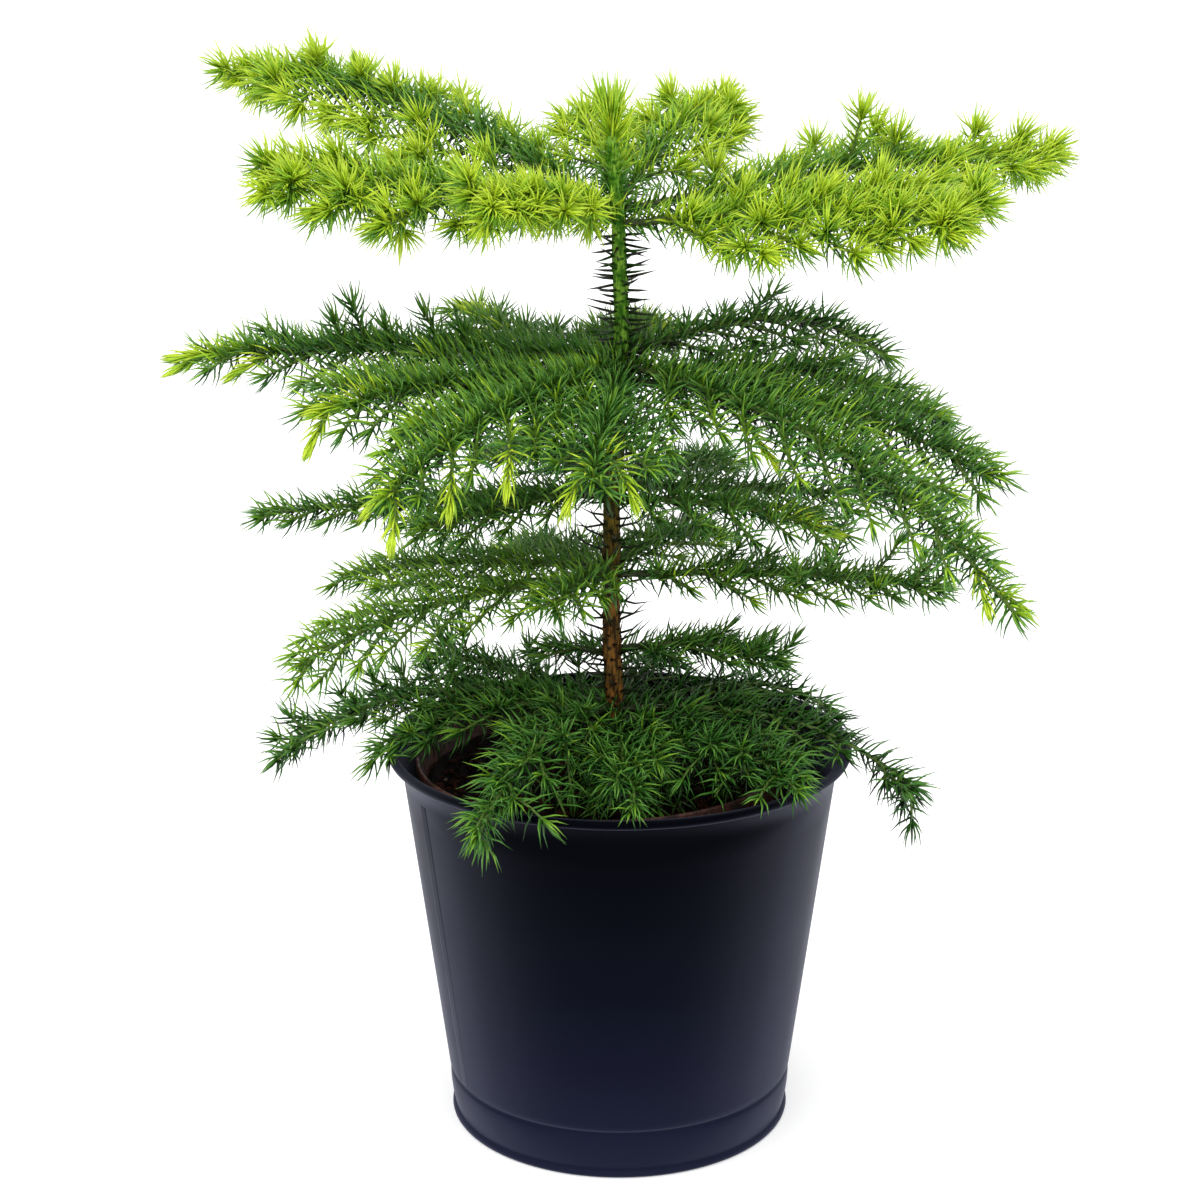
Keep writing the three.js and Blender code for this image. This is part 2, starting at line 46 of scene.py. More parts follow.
MM = 0.001
PLANTER_HEIGHT = 127.5
PLANTER_RIM = 75.0
PLANTER_MOUTH = 71.2
PLANTER_BASE = 54.5
PLANTER_FOOT = 56.0
PLANTER_STEPS = 160
SHEET = 0.6
WALL_SKIN = 0.4
FLARE_SKIN = 0.5
WALL_HEIGHTS = (19, 45, 70, 95)
LIP_ROLL = 1.5
LIP_NECK = 0.7
FLARE_FROM = 117.0
FLARE_POWER = 2.2
HEM_ROLL = 1.3
FLOOR_RECESS = 0.5
BAND_FOOT = 2.9
BAND_TOP = 14.4
BAND_BULGE = 0.45
BAND_FULLNESS = 0.6
GROOVE_DEPTH = 0.7
GROOVE_HEIGHT = 15.9
SEAM_TURN = math.radians(-150)
SEAM_FOOT = 17.6
SEAM_MIDDLE = 70
SEAM_WIDTH = 4.6
SEAM_THICKNESS = 0.3
SEAM_EDGE = 0.12
CREASE = math.radians(38)


def wall_radius(z):
    """Outside radius of the planter's plain wall at a height."""
    return PLANTER_BASE + (PLANTER_MOUTH - PLANTER_BASE) * z / PLANTER_HEIGHT


def arc(radius, height, roll, start, end, count):
    """Profile points round a roll, from a start angle to an end angle in degrees."""
    angles = [math.radians(start + (end - start) * i / count) for i in range(count + 1)]
    return [(radius + roll * math.cos(a), height + roll * math.sin(a)) for a in angles]


def lathe(profile, steps):
    """A closed body turned from (radius, height) points that start and end on the axis."""
    bm = bmesh.new()
    points = [bm.verts.new((radius, 0, height)) for radius, height in profile]
    edges = [bm.edges.new(pair) for pair in zip(points, points[1:])]
    bmesh.ops.spin(bm, geom=points + edges, cent=(0, 0, 0), axis=(0, 0, 1), angle=2 * math.pi,
                   steps=steps, use_merge=True)
    bmesh.ops.remove_doubles(bm, verts=bm.verts, dist=1e-4)
    bmesh.ops.recalc_face_normals(bm, faces=bm.faces)
    return bm


def finished_piece(name, bm, crease=CREASE):
    """Turns a bmesh in millimetres into an object in metres, smooth but for its real edges."""
    bmesh.ops.scale(bm, vec=(MM, MM, MM), verts=bm.verts)
    for face in bm.faces:
        face.smooth = True
    for edge in bm.edges:
        edge.smooth = edge.calc_face_angle(0) < crease
    mesh = bpy.data.meshes.new(name)
    bm.to_mesh(mesh)
    bm.free()
    piece = bpy.data.objects.new(name, mesh)
    bpy.context.scene.collection.objects.link(piece)
    return piece


def linear(code):
    """Linear colour of an sRGB hex value."""
    channels = [int(code[i:i + 2], 16) / 255 for i in (1, 3, 5)]
    return (*[c / 12.92 if c <= 0.04045 else ((c + 0.055) / 1.055) ** 2.4 for c in channels], 1.0)


def new_material(name):
    """A material with its shader, and the tree that its other nodes go into."""
    material = bpy.data.materials.new(name)
    material.use_nodes = True
    return material, material.node_tree, material.node_tree.nodes["Principled BSDF"]


def set_inputs(tree, node, inputs):
    """Gives a node its inputs, each a value or the output that it is linked to."""
    for socket, value in inputs.items():
        if isinstance(value, bpy.types.NodeSocket):
            tree.links.new(value, node.inputs[socket])
        else:
            node.inputs[socket].default_value = value


def add_node(tree, kind, inputs, stops=(), **settings):
    """Adds a node with its inputs and settings, and with a colour ramp's (position, colour) stops."""
    node = tree.nodes.new(kind)
    for setting, value in settings.items():
        setattr(node, setting, value)
    for number, (position, colour) in enumerate(stops):
        ramp = node.color_ramp.elements
        stop = ramp[number] if number < 2 else ramp.new(position)
        stop.position = position
        stop.color = colour
    set_inputs(tree, node, inputs)
    return node


lip_radius = PLANTER_RIM - LIP_ROLL
lip_height = PLANTER_HEIGHT - LIP_ROLL
flare = [i / 8 for i in range(9)]
flare_heights = [FLARE_FROM + (lip_height - LIP_ROLL - FLARE_FROM) * t for t in flare]
flare_radii = [wall_radius(z) + (lip_radius - LIP_NECK - wall_radius(z)) * t ** FLARE_POWER
               for t, z in zip(flare, flare_heights)]
band = [i / 12 for i in range(13)]
band_heights = [BAND_FOOT + (BAND_TOP - BAND_FOOT) * t for t in band]
groove = [math.pi * (i / 8 - 0.5) for i in range(1, 9)]
groove_heights = [GROOVE_HEIGHT + (GROOVE_HEIGHT - BAND_TOP) * 2 * a / math.pi for a in groove]
planter_profile = [
    (0, FLOOR_RECESS),
    (PLANTER_FOOT - 4.0, FLOOR_RECESS),
    (PLANTER_FOOT - 3.4, 0.0),
    *arc(PLANTER_FOOT - HEM_ROLL, HEM_ROLL, HEM_ROLL, -90, 80, 8),
    *[(wall_radius(z) + BAND_BULGE * math.sin(math.pi * t) ** BAND_FULLNESS, z)
      for t, z in zip(band, band_heights)],
    *[(wall_radius(z) - GROOVE_DEPTH * math.cos(a) ** 2, z)
      for a, z in zip(groove, groove_heights)],
    *[(wall_radius(z), z) for z in WALL_HEIGHTS],
    *zip(flare_radii, flare_heights),
    *arc(lip_radius, lip_height, LIP_ROLL, -55, 195, 18),
    *[(r - SHEET - FLARE_SKIN, z) for r, z in list(zip(flare_radii, flare_heights))[::-1][2:]],
    *[(wall_radius(z) - SHEET - WALL_SKIN, z) for z in WALL_HEIGHTS[::-1]],
    (PLANTER_BASE - 1.4, 1.6),
    (0, 1.2),
]
planter = finished_piece("planter_shell", lathe(planter_profile, PLANTER_STEPS))

seam_turn_width = SEAM_WIDTH / wall_radius(SEAM_MIDDLE)
bm = bmesh.new()
seam_ends = [bm.verts.new((wall_radius(z) + 0.02, 0, z)) for z in (SEAM_FOOT, 60, FLARE_FROM)]
seam_edges = [bm.edges.new(pair) for pair in zip(seam_ends, seam_ends[1:])]
bmesh.ops.spin(bm, geom=seam_ends + seam_edges, cent=(0, 0, 0), axis=(0, 0, 1),
               angle=-seam_turn_width, steps=4)
bmesh.ops.recalc_face_normals(bm, faces=bm.faces)
bmesh.ops.solidify(bm, geom=bm.faces[:] + bm.edges[:] + bm.verts[:], thickness=SEAM_THICKNESS)
bmesh.ops.recalc_face_normals(bm, faces=bm.faces)
bmesh.ops.bevel(bm, geom=[e for e in bm.edges if e.calc_face_angle(0) > 1], affect="EDGES",
                offset=SEAM_EDGE, segments=2, profile=0.5, material=-1)
bmesh.ops.rotate(bm, matrix=Matrix.Rotation(SEAM_TURN, 3, "Z"), verts=bm.verts)
seam = finished_piece("planter_seam", bm)

# Satin powder coat on steel: a fine orange peel, faint smudges in the gloss, a soft sheen where the
# wall turns away, and a near-black colour with a navy cast. Towards the foot the colour is painted
# lighter and bluer, as a painted reflection of the floor, and towards the mouth darker, as painted
# shade under the foliage.
# Coat colours by share of the height, with a painted reflection at the foot and painted shade at the
# mouth
COAT_COLOURS_WITH_PAINTED_LIGHT = [(0.0, "#1b1e30"), (0.3, "#0f1122"), (0.5, "#070a16"), (0.85, "#020308")]
# How far the flare and the lip turn the sheen, by share of the height
FLARE_TURNS = [(0.86, 0.0), (0.93, 0.2), (0.972, 0.2), (0.985, -0.06)]
# The sheen's weight, by how far the surface turns away
SHEEN_WEIGHTS = [(0.08, 0.0), (0.2, 0.17), (0.34, 0.48), (0.52, 0.5), (0.76, 0.2)]
ORANGE_PEEL = 0.9
SMUDGE = 30.0
powder_coat, tree, shader = new_material("satin_powder_coat")
place = add_node(tree, "ShaderNodeTexCoord", {}).outputs["Object"]
peel = add_node(tree, "ShaderNodeTexNoise", {
    "Vector": place, "Scale": 1 / (ORANGE_PEEL * MM), "Detail": 2.0})
smudge = add_node(tree, "ShaderNodeTexNoise", {
    "Vector": place, "Scale": 1 / (SMUDGE * MM), "Detail": 4.0, "Roughness": 0.6})
gloss = add_node(tree, "ShaderNodeMapRange", {
    "Value": smudge.outputs["Fac"], "From Min": 0.3, "From Max": 0.7, "To Min": 0.32, "To Max": 0.42})
height = add_node(tree, "ShaderNodeSeparateXYZ", {"Vector": place}).outputs["Z"]
height_share = add_node(tree, "ShaderNodeMapRange", {
    "Value": height, "From Min": 0.0, "From Max": PLANTER_HEIGHT * MM}).outputs["Result"]
# The coat's colour by height: painted reflection of the floor at the foot, painted shade at the mouth
coat = add_node(tree, "ShaderNodeValToRGB", {"Fac": height_share}, [
    (share, linear(code)) for share, code in COAT_COLOURS_WITH_PAINTED_LIGHT])
facing = add_node(tree, "ShaderNodeLayerWeight", {"Blend": 0.5}).outputs["Facing"]
flared = add_node(tree, "ShaderNodeValToRGB", {"Fac": height_share}, [
    (share, (turn, turn, turn, 1)) for share, turn in FLARE_TURNS])
turned = add_node(tree, "ShaderNodeMath", {
    0: facing, 1: flared.outputs["Color"]}, operation="SUBTRACT")
sheen_weight = add_node(tree, "ShaderNodeValToRGB", {"Fac": turned.outputs["Value"]}, [
    (share, (weight, weight, weight, 1)) for share, weight in SHEEN_WEIGHTS])
bump = add_node(tree, "ShaderNodeBump", {
    "Height": peel.outputs["Fac"], "Strength": 0.12, "Distance": 0.05 * MM})
set_inputs(tree, shader, {
    "Base Color": coat.outputs["Color"],
    "Roughness": gloss.outputs["Result"],
    "IOR": 1.07,
    "Sheen Weight": sheen_weight.outputs["Color"],
    "Sheen Roughness": 0.4,
    "Sheen Tint": linear("#bec2e4"),
    "Normal": bump.outputs["Normal"],
})
for piece in (planter, seam):
    piece.data.materials.append(powder_coat)
    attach(piece, "root")
    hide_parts("planter")

# ---------------------------------------------------------------- nursery pot
# The pot that the plant was grown in stands inside the planter, a little off centre: thin
# polypropylene, moulded in terracotta brown, with a stepped rim band and a rounded rim.

NURSERY_RIM = 60.0
NURSERY_BASE = 44.0
NURSERY_RIM_Z = 122.0
NURSERY_FLOOR = 1.5
NURSERY_WALL = 1.2
NURSERY_BAND = 9.0
NURSERY_STEP = 1.6
NURSERY_STEPS = 120
NURSERY_CENTRE = (-6.0, 1.0, 0.0)
SOIL_Z = 112.0


def nursery_radius(z):
    """Outside radius of the nursery pot under its rim band."""
    share = (z - NURSERY_FLOOR) / (NURSERY_RIM_Z - NURSERY_FLOOR)
    return NURSERY_BASE + (NURSERY_RIM - NURSERY_STEP - NURSERY_BASE) * share


band_foot = NURSERY_RIM_Z - NURSERY_BAND
rim_roll = NURSERY_WALL / 2
bm = lathe([
    (0, NURSERY_FLOOR),
    (NURSERY_BASE - 1.5, NURSERY_FLOOR),
    (NURSERY_BASE, NURSERY_FLOOR + 1.5),
    (nursery_radius(band_foot), band_foot),
    (NURSERY_RIM - 0.9, band_foot + 0.3),
    (NURSERY_RIM - 0.5, band_foot + 0.9),
    *arc(NURSERY_RIM - rim_roll, NURSERY_RIM_Z - rim_roll, rim_roll, 0, 180, 8),
    (nursery_radius(band_foot + 2) - NURSERY_WALL + 0.5, band_foot + 1.5),
    (nursery_radius(band_foot) - NURSERY_WALL, band_foot - 0.5),
    (NURSERY_BASE - NURSERY_WALL, NURSERY_FLOOR + NURSERY_WALL),
    (0, NURSERY_FLOOR + NURSERY_WALL),
], NURSERY_STEPS)
bmesh.ops.translate(bm, vec=NURSERY_CENTRE, verts=bm.verts)
nursery_pot = finished_piece("nursery_pot_shell", bm)

# Moulded polypropylene: a low sheen with a fine matt grain, and dried soil on it in places. The
# grain is about 0.1 mm on a real pot, and is drawn coarser so that it shows.
SOIL_SMEAR = 9.0
MOULD_GRAIN = 0.5
polypropylene, tree, shader = new_material("terracotta_polypropylene")
place = add_node(tree, "ShaderNodeTexCoord", {}).outputs["Object"]
smear = add_node(tree, "ShaderNodeTexNoise", {
    "Vector": place, "Scale": 1 / (SOIL_SMEAR * MM), "Detail": 6.0, "Roughness": 0.65})
smear_edge = add_node(tree, "ShaderNodeMapRange", {
    "Value": smear.outputs["Fac"], "From Min": 0.42, "From Max": 0.6}).outputs["Result"]
plastic = add_node(tree, "ShaderNodeMix", {
    "Factor": smear_edge, "A": linear("#5c3125"), "B": linear("#22120d")}, data_type="RGBA")
gloss = add_node(tree, "ShaderNodeMapRange", {"Value": smear_edge, "To Min": 0.42, "To Max": 0.85})
grain = add_node(tree, "ShaderNodeTexNoise", {
    "Vector": place, "Scale": 1 / (MOULD_GRAIN * MM), "Detail": 2.0})
bump = add_node(tree, "ShaderNodeBump", {
    "Height": grain.outputs["Fac"], "Strength": 0.15, "Distance": 0.05 * MM})
set_inputs(tree, shader, {
    "Base Color": plastic.outputs["Result"],
    "Roughness": gloss.outputs["Result"],
    "IOR": 1.49,
    "Normal": bump.outputs["Normal"],
})
nursery_pot.data.materials.append(polypropylene)
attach(nursery_pot, "root")
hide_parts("nursery_pot")

# ---------------------------------------------------------------- potting mix
# Moist peat with chips of composted bark and a few grains of pumice, filled to just under the rim
# of the nursery pot, heaped a little round the stem and banked up against the pot's wall. The
# chips lie loose, half sunk.

SOIL_RADIUS = nursery_radius(SOIL_Z) - NURSERY_WALL - 0.4
SOIL_FLOOR = 4.0
SOIL_RINGS = 44
SOIL_STEPS = 160
SETTLED = 0.8
LUMP = 7.0
LUMP_HEIGHT = 1.5
MOUND_HEIGHT = 2.2
MOUND_AREA = 500
BANK_HEIGHT = 4.0
BANK_WIDTH = 5
SCATTER_MARGIN = 2.5
CHIP_LIFT = 0.12


def soil_height(x, y):
    """Height of the soil's lumpy surface."""
    from_rim = SOIL_RADIUS - math.hypot(x - NURSERY_CENTRE[0], y - NURSERY_CENTRE[1])
    lumps = noise.fractal(Vector((x, y, 0)) / LUMP, 0.6, 2.0, 4)
    mound = MOUND_HEIGHT * math.exp(-math.hypot(x, y) ** 2 / MOUND_AREA)
    bank = BANK_HEIGHT * math.exp(-max(from_rim, 0) / BANK_WIDTH)
    return SOIL_Z - SETTLED + mound + bank + LUMP_HEIGHT * lumps


soil_rings = [SOIL_RADIUS * i / SOIL_RINGS for i in range(SOIL_RINGS, -1, -1)]
bm = lathe([(0, SOIL_FLOOR), (NURSERY_BASE - 2.5, SOIL_FLOOR),
            *[(r, SOIL_Z) for r in soil_rings]], SOIL_STEPS)
bmesh.ops.translate(bm, vec=NURSERY_CENTRE, verts=bm.verts)
for vertex in bm.verts:
    if vertex.co.z > SOIL_Z - 1:
        vertex.co.z = soil_height(vertex.co.x, vertex.co.y)
soil = finished_piece("potting_mix", bm, crease=math.pi)


def stamped(template, triangles, frames, origins):
    """Points and triangles of one mesh, with a template laid out once in each frame."""
    points = np.einsum("vk,nkj->nvj", template, frames) + origins[:, None, :]
    offsets = np.arange(len(origins)) * len(template)
    faces = triangles[None, :, :] + offsets[:, None, None]
    return points.reshape(-1, 3), faces.reshape(-1, 3)


def joined_piece(name, points, triangles, smooth):
    """One object in metres from arrays of points in millimetres and of triangles."""
    mesh = bpy.data.meshes.new(name)
    mesh.from_pydata((points * MM).tolist(), [], triangles.tolist())
    mesh.shade_smooth() if smooth else mesh.shade_flat()
    piece = bpy.data.objects.new(name, mesh)
    bpy.context.scene.collection.objects.link(piece)
    return piece


def chip_template():
    """Points and triangles of one rough chip, 1 across."""
    chip = bmesh.new()
    bmesh.ops.create_icosphere(chip, subdivisions=1, radius=0.5)
    points = np.array([v.co[:] for v in chip.verts])
    triangles = np.array([[v.index for v in face.verts] for face in chip.faces])
    chip.free()
    return points, triangles


chance = np.random.default_rng(11)


def unit(vectors):
    """Vectors drawn out or in to a length of one."""
    return vectors / np.linalg.norm(vectors, axis=-1, keepdims=True)


def scattered_chips(name, count, smallest, largest):
    """Chips of random size and turn, lying half sunk in the soil."""
    turns = chance.uniform(0, 2 * math.pi, count)
    out = (SOIL_RADIUS - SCATTER_MARGIN) * np.sqrt(chance.uniform(0, 1, count))
    x = NURSERY_CENTRE[0] + out * np.cos(turns)
    y = NURSERY_CENTRE[1] + out * np.sin(turns)
    z = np.array([soil_height(*place) for place in zip(x, y)])
    sizes = smallest + (largest - smallest) * chance.uniform(0, 1, count) ** 2.5
    first = unit(chance.normal(size=(count, 3)) * (1, 1, 0.35))
    second = unit(np.cross(first, chance.normal(size=(count, 3))))
    third = np.cross(first, second)
    shape = np.stack([np.ones(count), chance.uniform(0.45, 0.8, count),
                      chance.uniform(0.25, 0.6, count)], axis=1)
    frames = np.stack([first, second, third], axis=1) * (shape * sizes[:, None])[:, :, None]
    origins = np.stack([x, y, z + CHIP_LIFT * sizes], axis=1)
    points, triangles = chip_template()
    return joined_piece(name, *stamped(points, triangles, frames, origins), smooth=False)


bark_chips = scattered_chips("bark_chips", 1500, 0.9, 5.0)
peat_crumbs = scattered_chips("peat_crumbs", 2600, 0.6, 2.6)
pumice = scattered_chips("pumice_grains", 34, 0.8, 2.2)

# Loose organic matter: rough and dull all over, dark where it is moist, reddish where a chip has
# dried. The peat and its crumbs are painted darker still than moist peat, as painted shade down in
# the planter. Pumice is pale and matt.
CRUMB = 1.6
PATCH = 14.0
# The near-black colours of the peat and its crumbs are partly painted shade
for piece, dark, light in ((soil, "#080403", "#140a07"), (peat_crumbs, "#0b0604", "#1d0f0a"),
                           (bark_chips, "#1c0d09", "#48261a"), (pumice, "#6d5c50", "#a08e7e")):
    mix, tree, shader = new_material(piece.name + "_matter")
    place = add_node(tree, "ShaderNodeTexCoord", {}).outputs["Object"]
    crumb = add_node(tree, "ShaderNodeTexNoise", {
        "Vector": place, "Scale": 1 / (CRUMB * MM), "Detail": 6.0, "Roughness": 0.7}).outputs["Fac"]
    patch = add_node(tree, "ShaderNodeTexNoise", {
        "Vector": place, "Scale": 1 / (PATCH * MM), "Detail": 3.0}).outputs["Fac"]
    both = add_node(tree, "ShaderNodeMath", {0: crumb, 1: 0.7, 2: patch}, operation="MULTIPLY_ADD")
    share = add_node(tree, "ShaderNodeMapRange", {
        "Value": both.outputs["Value"], "From Min": 0.62, "From Max": 1.08})
    colour = add_node(tree, "ShaderNodeMix", {
        "Factor": share.outputs["Result"], "A": linear(dark), "B": linear(light)}, data_type="RGBA")
    bump = add_node(tree, "ShaderNodeBump", {
        "Height": crumb, "Strength": 0.8, "Distance": 0.5 * MM})
    set_inputs(tree, shader, {
        "Base Color": colour.outputs["Result"],
        "Roughness": 0.92,
        "IOR": 1.2,
        "Normal": bump.outputs["Normal"],
    })
    piece.data.materials.append(mix)
    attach(piece, "root")
    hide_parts("soil")

# ---------------------------------------------------------------- trunk
# The young stem runs whole from the soil to the tip of the leader, with a slight lean. Its foot
# has thin ochre bark with dark leaf scars in a spiral, and its top is still green, set with the
# pale raised bases of the needles.

TRUNK_FOOT_RADIUS = 4.1
TRUNK_FLARE_HEIGHT = 7.0
TRUNK_LOW_RADIUS = 3.1
TRUNK_TIP_RADIUS = 2.0
TRUNK_TIP_Z = 319.0
TOP_Z = 340.0
TRUNK_LEAN = [
    (SOIL_Z, -1.5, 0), (144, -1.8, 0.3), (167, -2.6, 0.6), (204, -2.5, 0.4),
    (229, -0.8, 0), (264, 0.6, -0.4), (290, -0.2, 0), (322, -2.3, 0.4), (TOP_Z, -3.5, 0.6),
]
TRUNK_SIDES = 44
TRUNK_ROW = 0.5
SCAR_RISE = 0.62
SCAR_WIDTH = 1.05
SCAR_HEIGHT = 0.75
SCAR_SWELL = 0.14
RIPPLE = (1.1, 1.1, 7.0)
RIPPLE_SWELL = 0.13
ROUGHNESS = 0.8
ROUGHNESS_SWELL = 0.07
GOLDEN = math.radians(137.508)


def trunk_centre(z):
    """Where the middle of the stem lies at a height."""
    rows = TRUNK_LEAN
    low, high = next(((a, b) for a, b in zip(rows, rows[1:]) if z < b[0]), (rows[-2], rows[-1]))
    share = min(max((z - low[0]) / (high[0] - low[0]), 0), 1)
    share = share * share * (3 - 2 * share)
    return Vector((low[1] + (high[1] - low[1]) * share, low[2] + (high[2] - low[2]) * share, z))


def trunk_radius(z):
    """The stem's radius at a height."""
    share = max(0, (z - SOIL_Z) / (TRUNK_TIP_Z - SOIL_Z))
    flare_share = max(0, 1 - (z - SOIL_Z) / TRUNK_FLARE_HEIGHT)
    radius = TRUNK_LOW_RADIUS + (TRUNK_TIP_RADIUS - TRUNK_LOW_RADIUS) * share
    return radius + (TRUNK_FOOT_RADIUS - TRUNK_LOW_RADIUS) * flare_share ** 2


def scar_share(turn, z, radius):
    """How near a point of the bark is to a leaf scar: 1 on its middle, 0 away from it."""
    row = (z - SOIL_Z) / SCAR_RISE
    best = 0.0
    for scar in range(int(row) - 7, int(row) + 9):   # the scars that can reach this height
        shift = noise.noise(Vector((scar * 3.7, 0, 0)))
        size = 1 + 0.5 * noise.noise(Vector((0, scar * 5.3, 0)))
        around = math.remainder(turn - scar * GOLDEN - 0.5 * shift, 2 * math.pi) * radius
        above = z - SOIL_Z - (scar + shift) * SCAR_RISE
        share = 1 - (around / (SCAR_WIDTH * size)) ** 2 - (above / (SCAR_HEIGHT * size)) ** 2
        best = max(best, share)
    return best


bm = lathe([(0, SOIL_Z)] + [
    (trunk_radius(z), z) for z in np.arange(SOIL_Z, TRUNK_TIP_Z, TRUNK_ROW)
] + [(0, TRUNK_TIP_Z)], TRUNK_SIDES)
scar_layer = bm.verts.layers.float.new("leaf_scar")
for vertex in bm.verts:
    x, y, z = vertex.co
    radius = math.hypot(x, y)
    scar = scar_share(math.atan2(y, x), z, max(radius, 0.5))
    ripple = noise.noise(Vector((x / RIPPLE[0], y / RIPPLE[1], z / RIPPLE[2])))
    swell = (1 + SCAR_SWELL * scar + RIPPLE_SWELL * ripple
             + ROUGHNESS_SWELL * noise.noise(Vector((x, y, z)) / ROUGHNESS))
    centre = trunk_centre(z)
    vertex.co = (centre.x + x * swell, centre.y + y * swell, z)
    vertex[scar_layer] = scar
trunk = finished_piece("trunk_bark", bm, crease=math.pi)

# Young bark: dull and thin, olive and ochre at the foot with dark cracks along it and near-black
# scars across it, reddish over that, and at the top a green skin streaked dark and pale.
BARK_PATCH = 4.0
BARK_CRACK = 0.9
CRACK_LENGTH = 6.0
BARK_COLOURS = [   # share of the height, skin, worn patches, scars or needle bases
    (0.0, "#7a6c2a", "#a0702a", "#1e150a"),
    (0.10, "#6e5226", "#98682c", "#160e08"),
    (0.30, "#54421f", "#7c5424", "#160f09"),
    (0.46, "#4a4a16", "#6a5c20", "#1a1a09"),
    (0.60, "#385614", "#527618", "#1e300a"),
    (0.72, "#46781a", "#78a436", "#244c0c"),
    (1.0, "#4e8418", "#86b03c", "#2c5c12"),
]
bark, tree, shader = new_material("young_bark")
place = add_node(tree, "ShaderNodeTexCoord", {}).outputs["Object"]
height = add_node(tree, "ShaderNodeSeparateXYZ", {"Vector": place}).outputs["Z"]
along = add_node(tree, "ShaderNodeMapRange", {
    "Value": height, "From Min": SOIL_Z * MM, "From Max": TRUNK_TIP_Z * MM}).outputs["Result"]
skin, worn, mark = [
    add_node(tree, "ShaderNodeValToRGB", {"Fac": along}, [
        (row[0], linear(row[column])) for row in BARK_COLOURS]).outputs["Color"]
    for column in (1, 2, 3)]
patch = add_node(tree, "ShaderNodeTexNoise", {
    "Vector": place, "Scale": 1 / (BARK_PATCH * MM), "Detail": 5.0, "Roughness": 0.65})
patch_edge = add_node(tree, "ShaderNodeMapRange", {
    "Value": patch.outputs["Fac"], "From Min": 0.44, "From Max": 0.58})
patched = add_node(tree, "ShaderNodeMix", {
    "Factor": patch_edge.outputs["Result"], "A": skin, "B": worn}, data_type="RGBA")
drawn_out = add_node(tree, "ShaderNodeMapping", {
    "Vector": place, "Scale": (1, 1, BARK_CRACK / CRACK_LENGTH)}).outputs["Vector"]
crack = add_node(tree, "ShaderNodeTexNoise", {
    "Vector": drawn_out, "Scale": 1 / (BARK_CRACK * MM), "Detail": 4.0, "Roughness": 0.6})
crack_edge = add_node(tree, "ShaderNodeMapRange", {
    "Value": crack.outputs["Fac"], "From Min": 0.54, "From Max": 0.44, "To Max": 0.85})
cracked = add_node(tree, "ShaderNodeMix", {
    "Factor": crack_edge.outputs["Result"], "A": patched.outputs["Result"], "B": mark},
    data_type="RGBA")
scar = add_node(tree, "ShaderNodeAttribute", {}, attribute_name="leaf_scar").outputs["Fac"]
scar_edge = add_node(tree, "ShaderNodeMapRange", {"Value": scar, "From Min": 0.2, "From Max": 0.7})
marked = add_node(tree, "ShaderNodeMix", {
    "Factor": scar_edge.outputs["Result"], "A": cracked.outputs["Result"], "B": mark},
    data_type="RGBA")
bump = add_node(tree, "ShaderNodeBump", {
    "Height": crack.outputs["Fac"], "Strength": 0.7, "Distance": 0.4 * MM})
set_inputs(tree, shader, {
    "Base Color": marked.outputs["Result"],
    "Roughness": 0.8,
    "IOR": 1.2,
    "Normal": bump.outputs["Normal"],
})
trunk.data.materials.append(bark)
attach(trunk, "root")
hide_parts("trunk")

# ---------------------------------------------------------------- boughs and twigs
# Boughs leave the stem in whorls, lift in a straight line and sag towards their tips. Each
# carries two ranks of side twigs, longest a third of the way out. Their skin is thin and green,
# darker near the stem, and swollen under every needle.

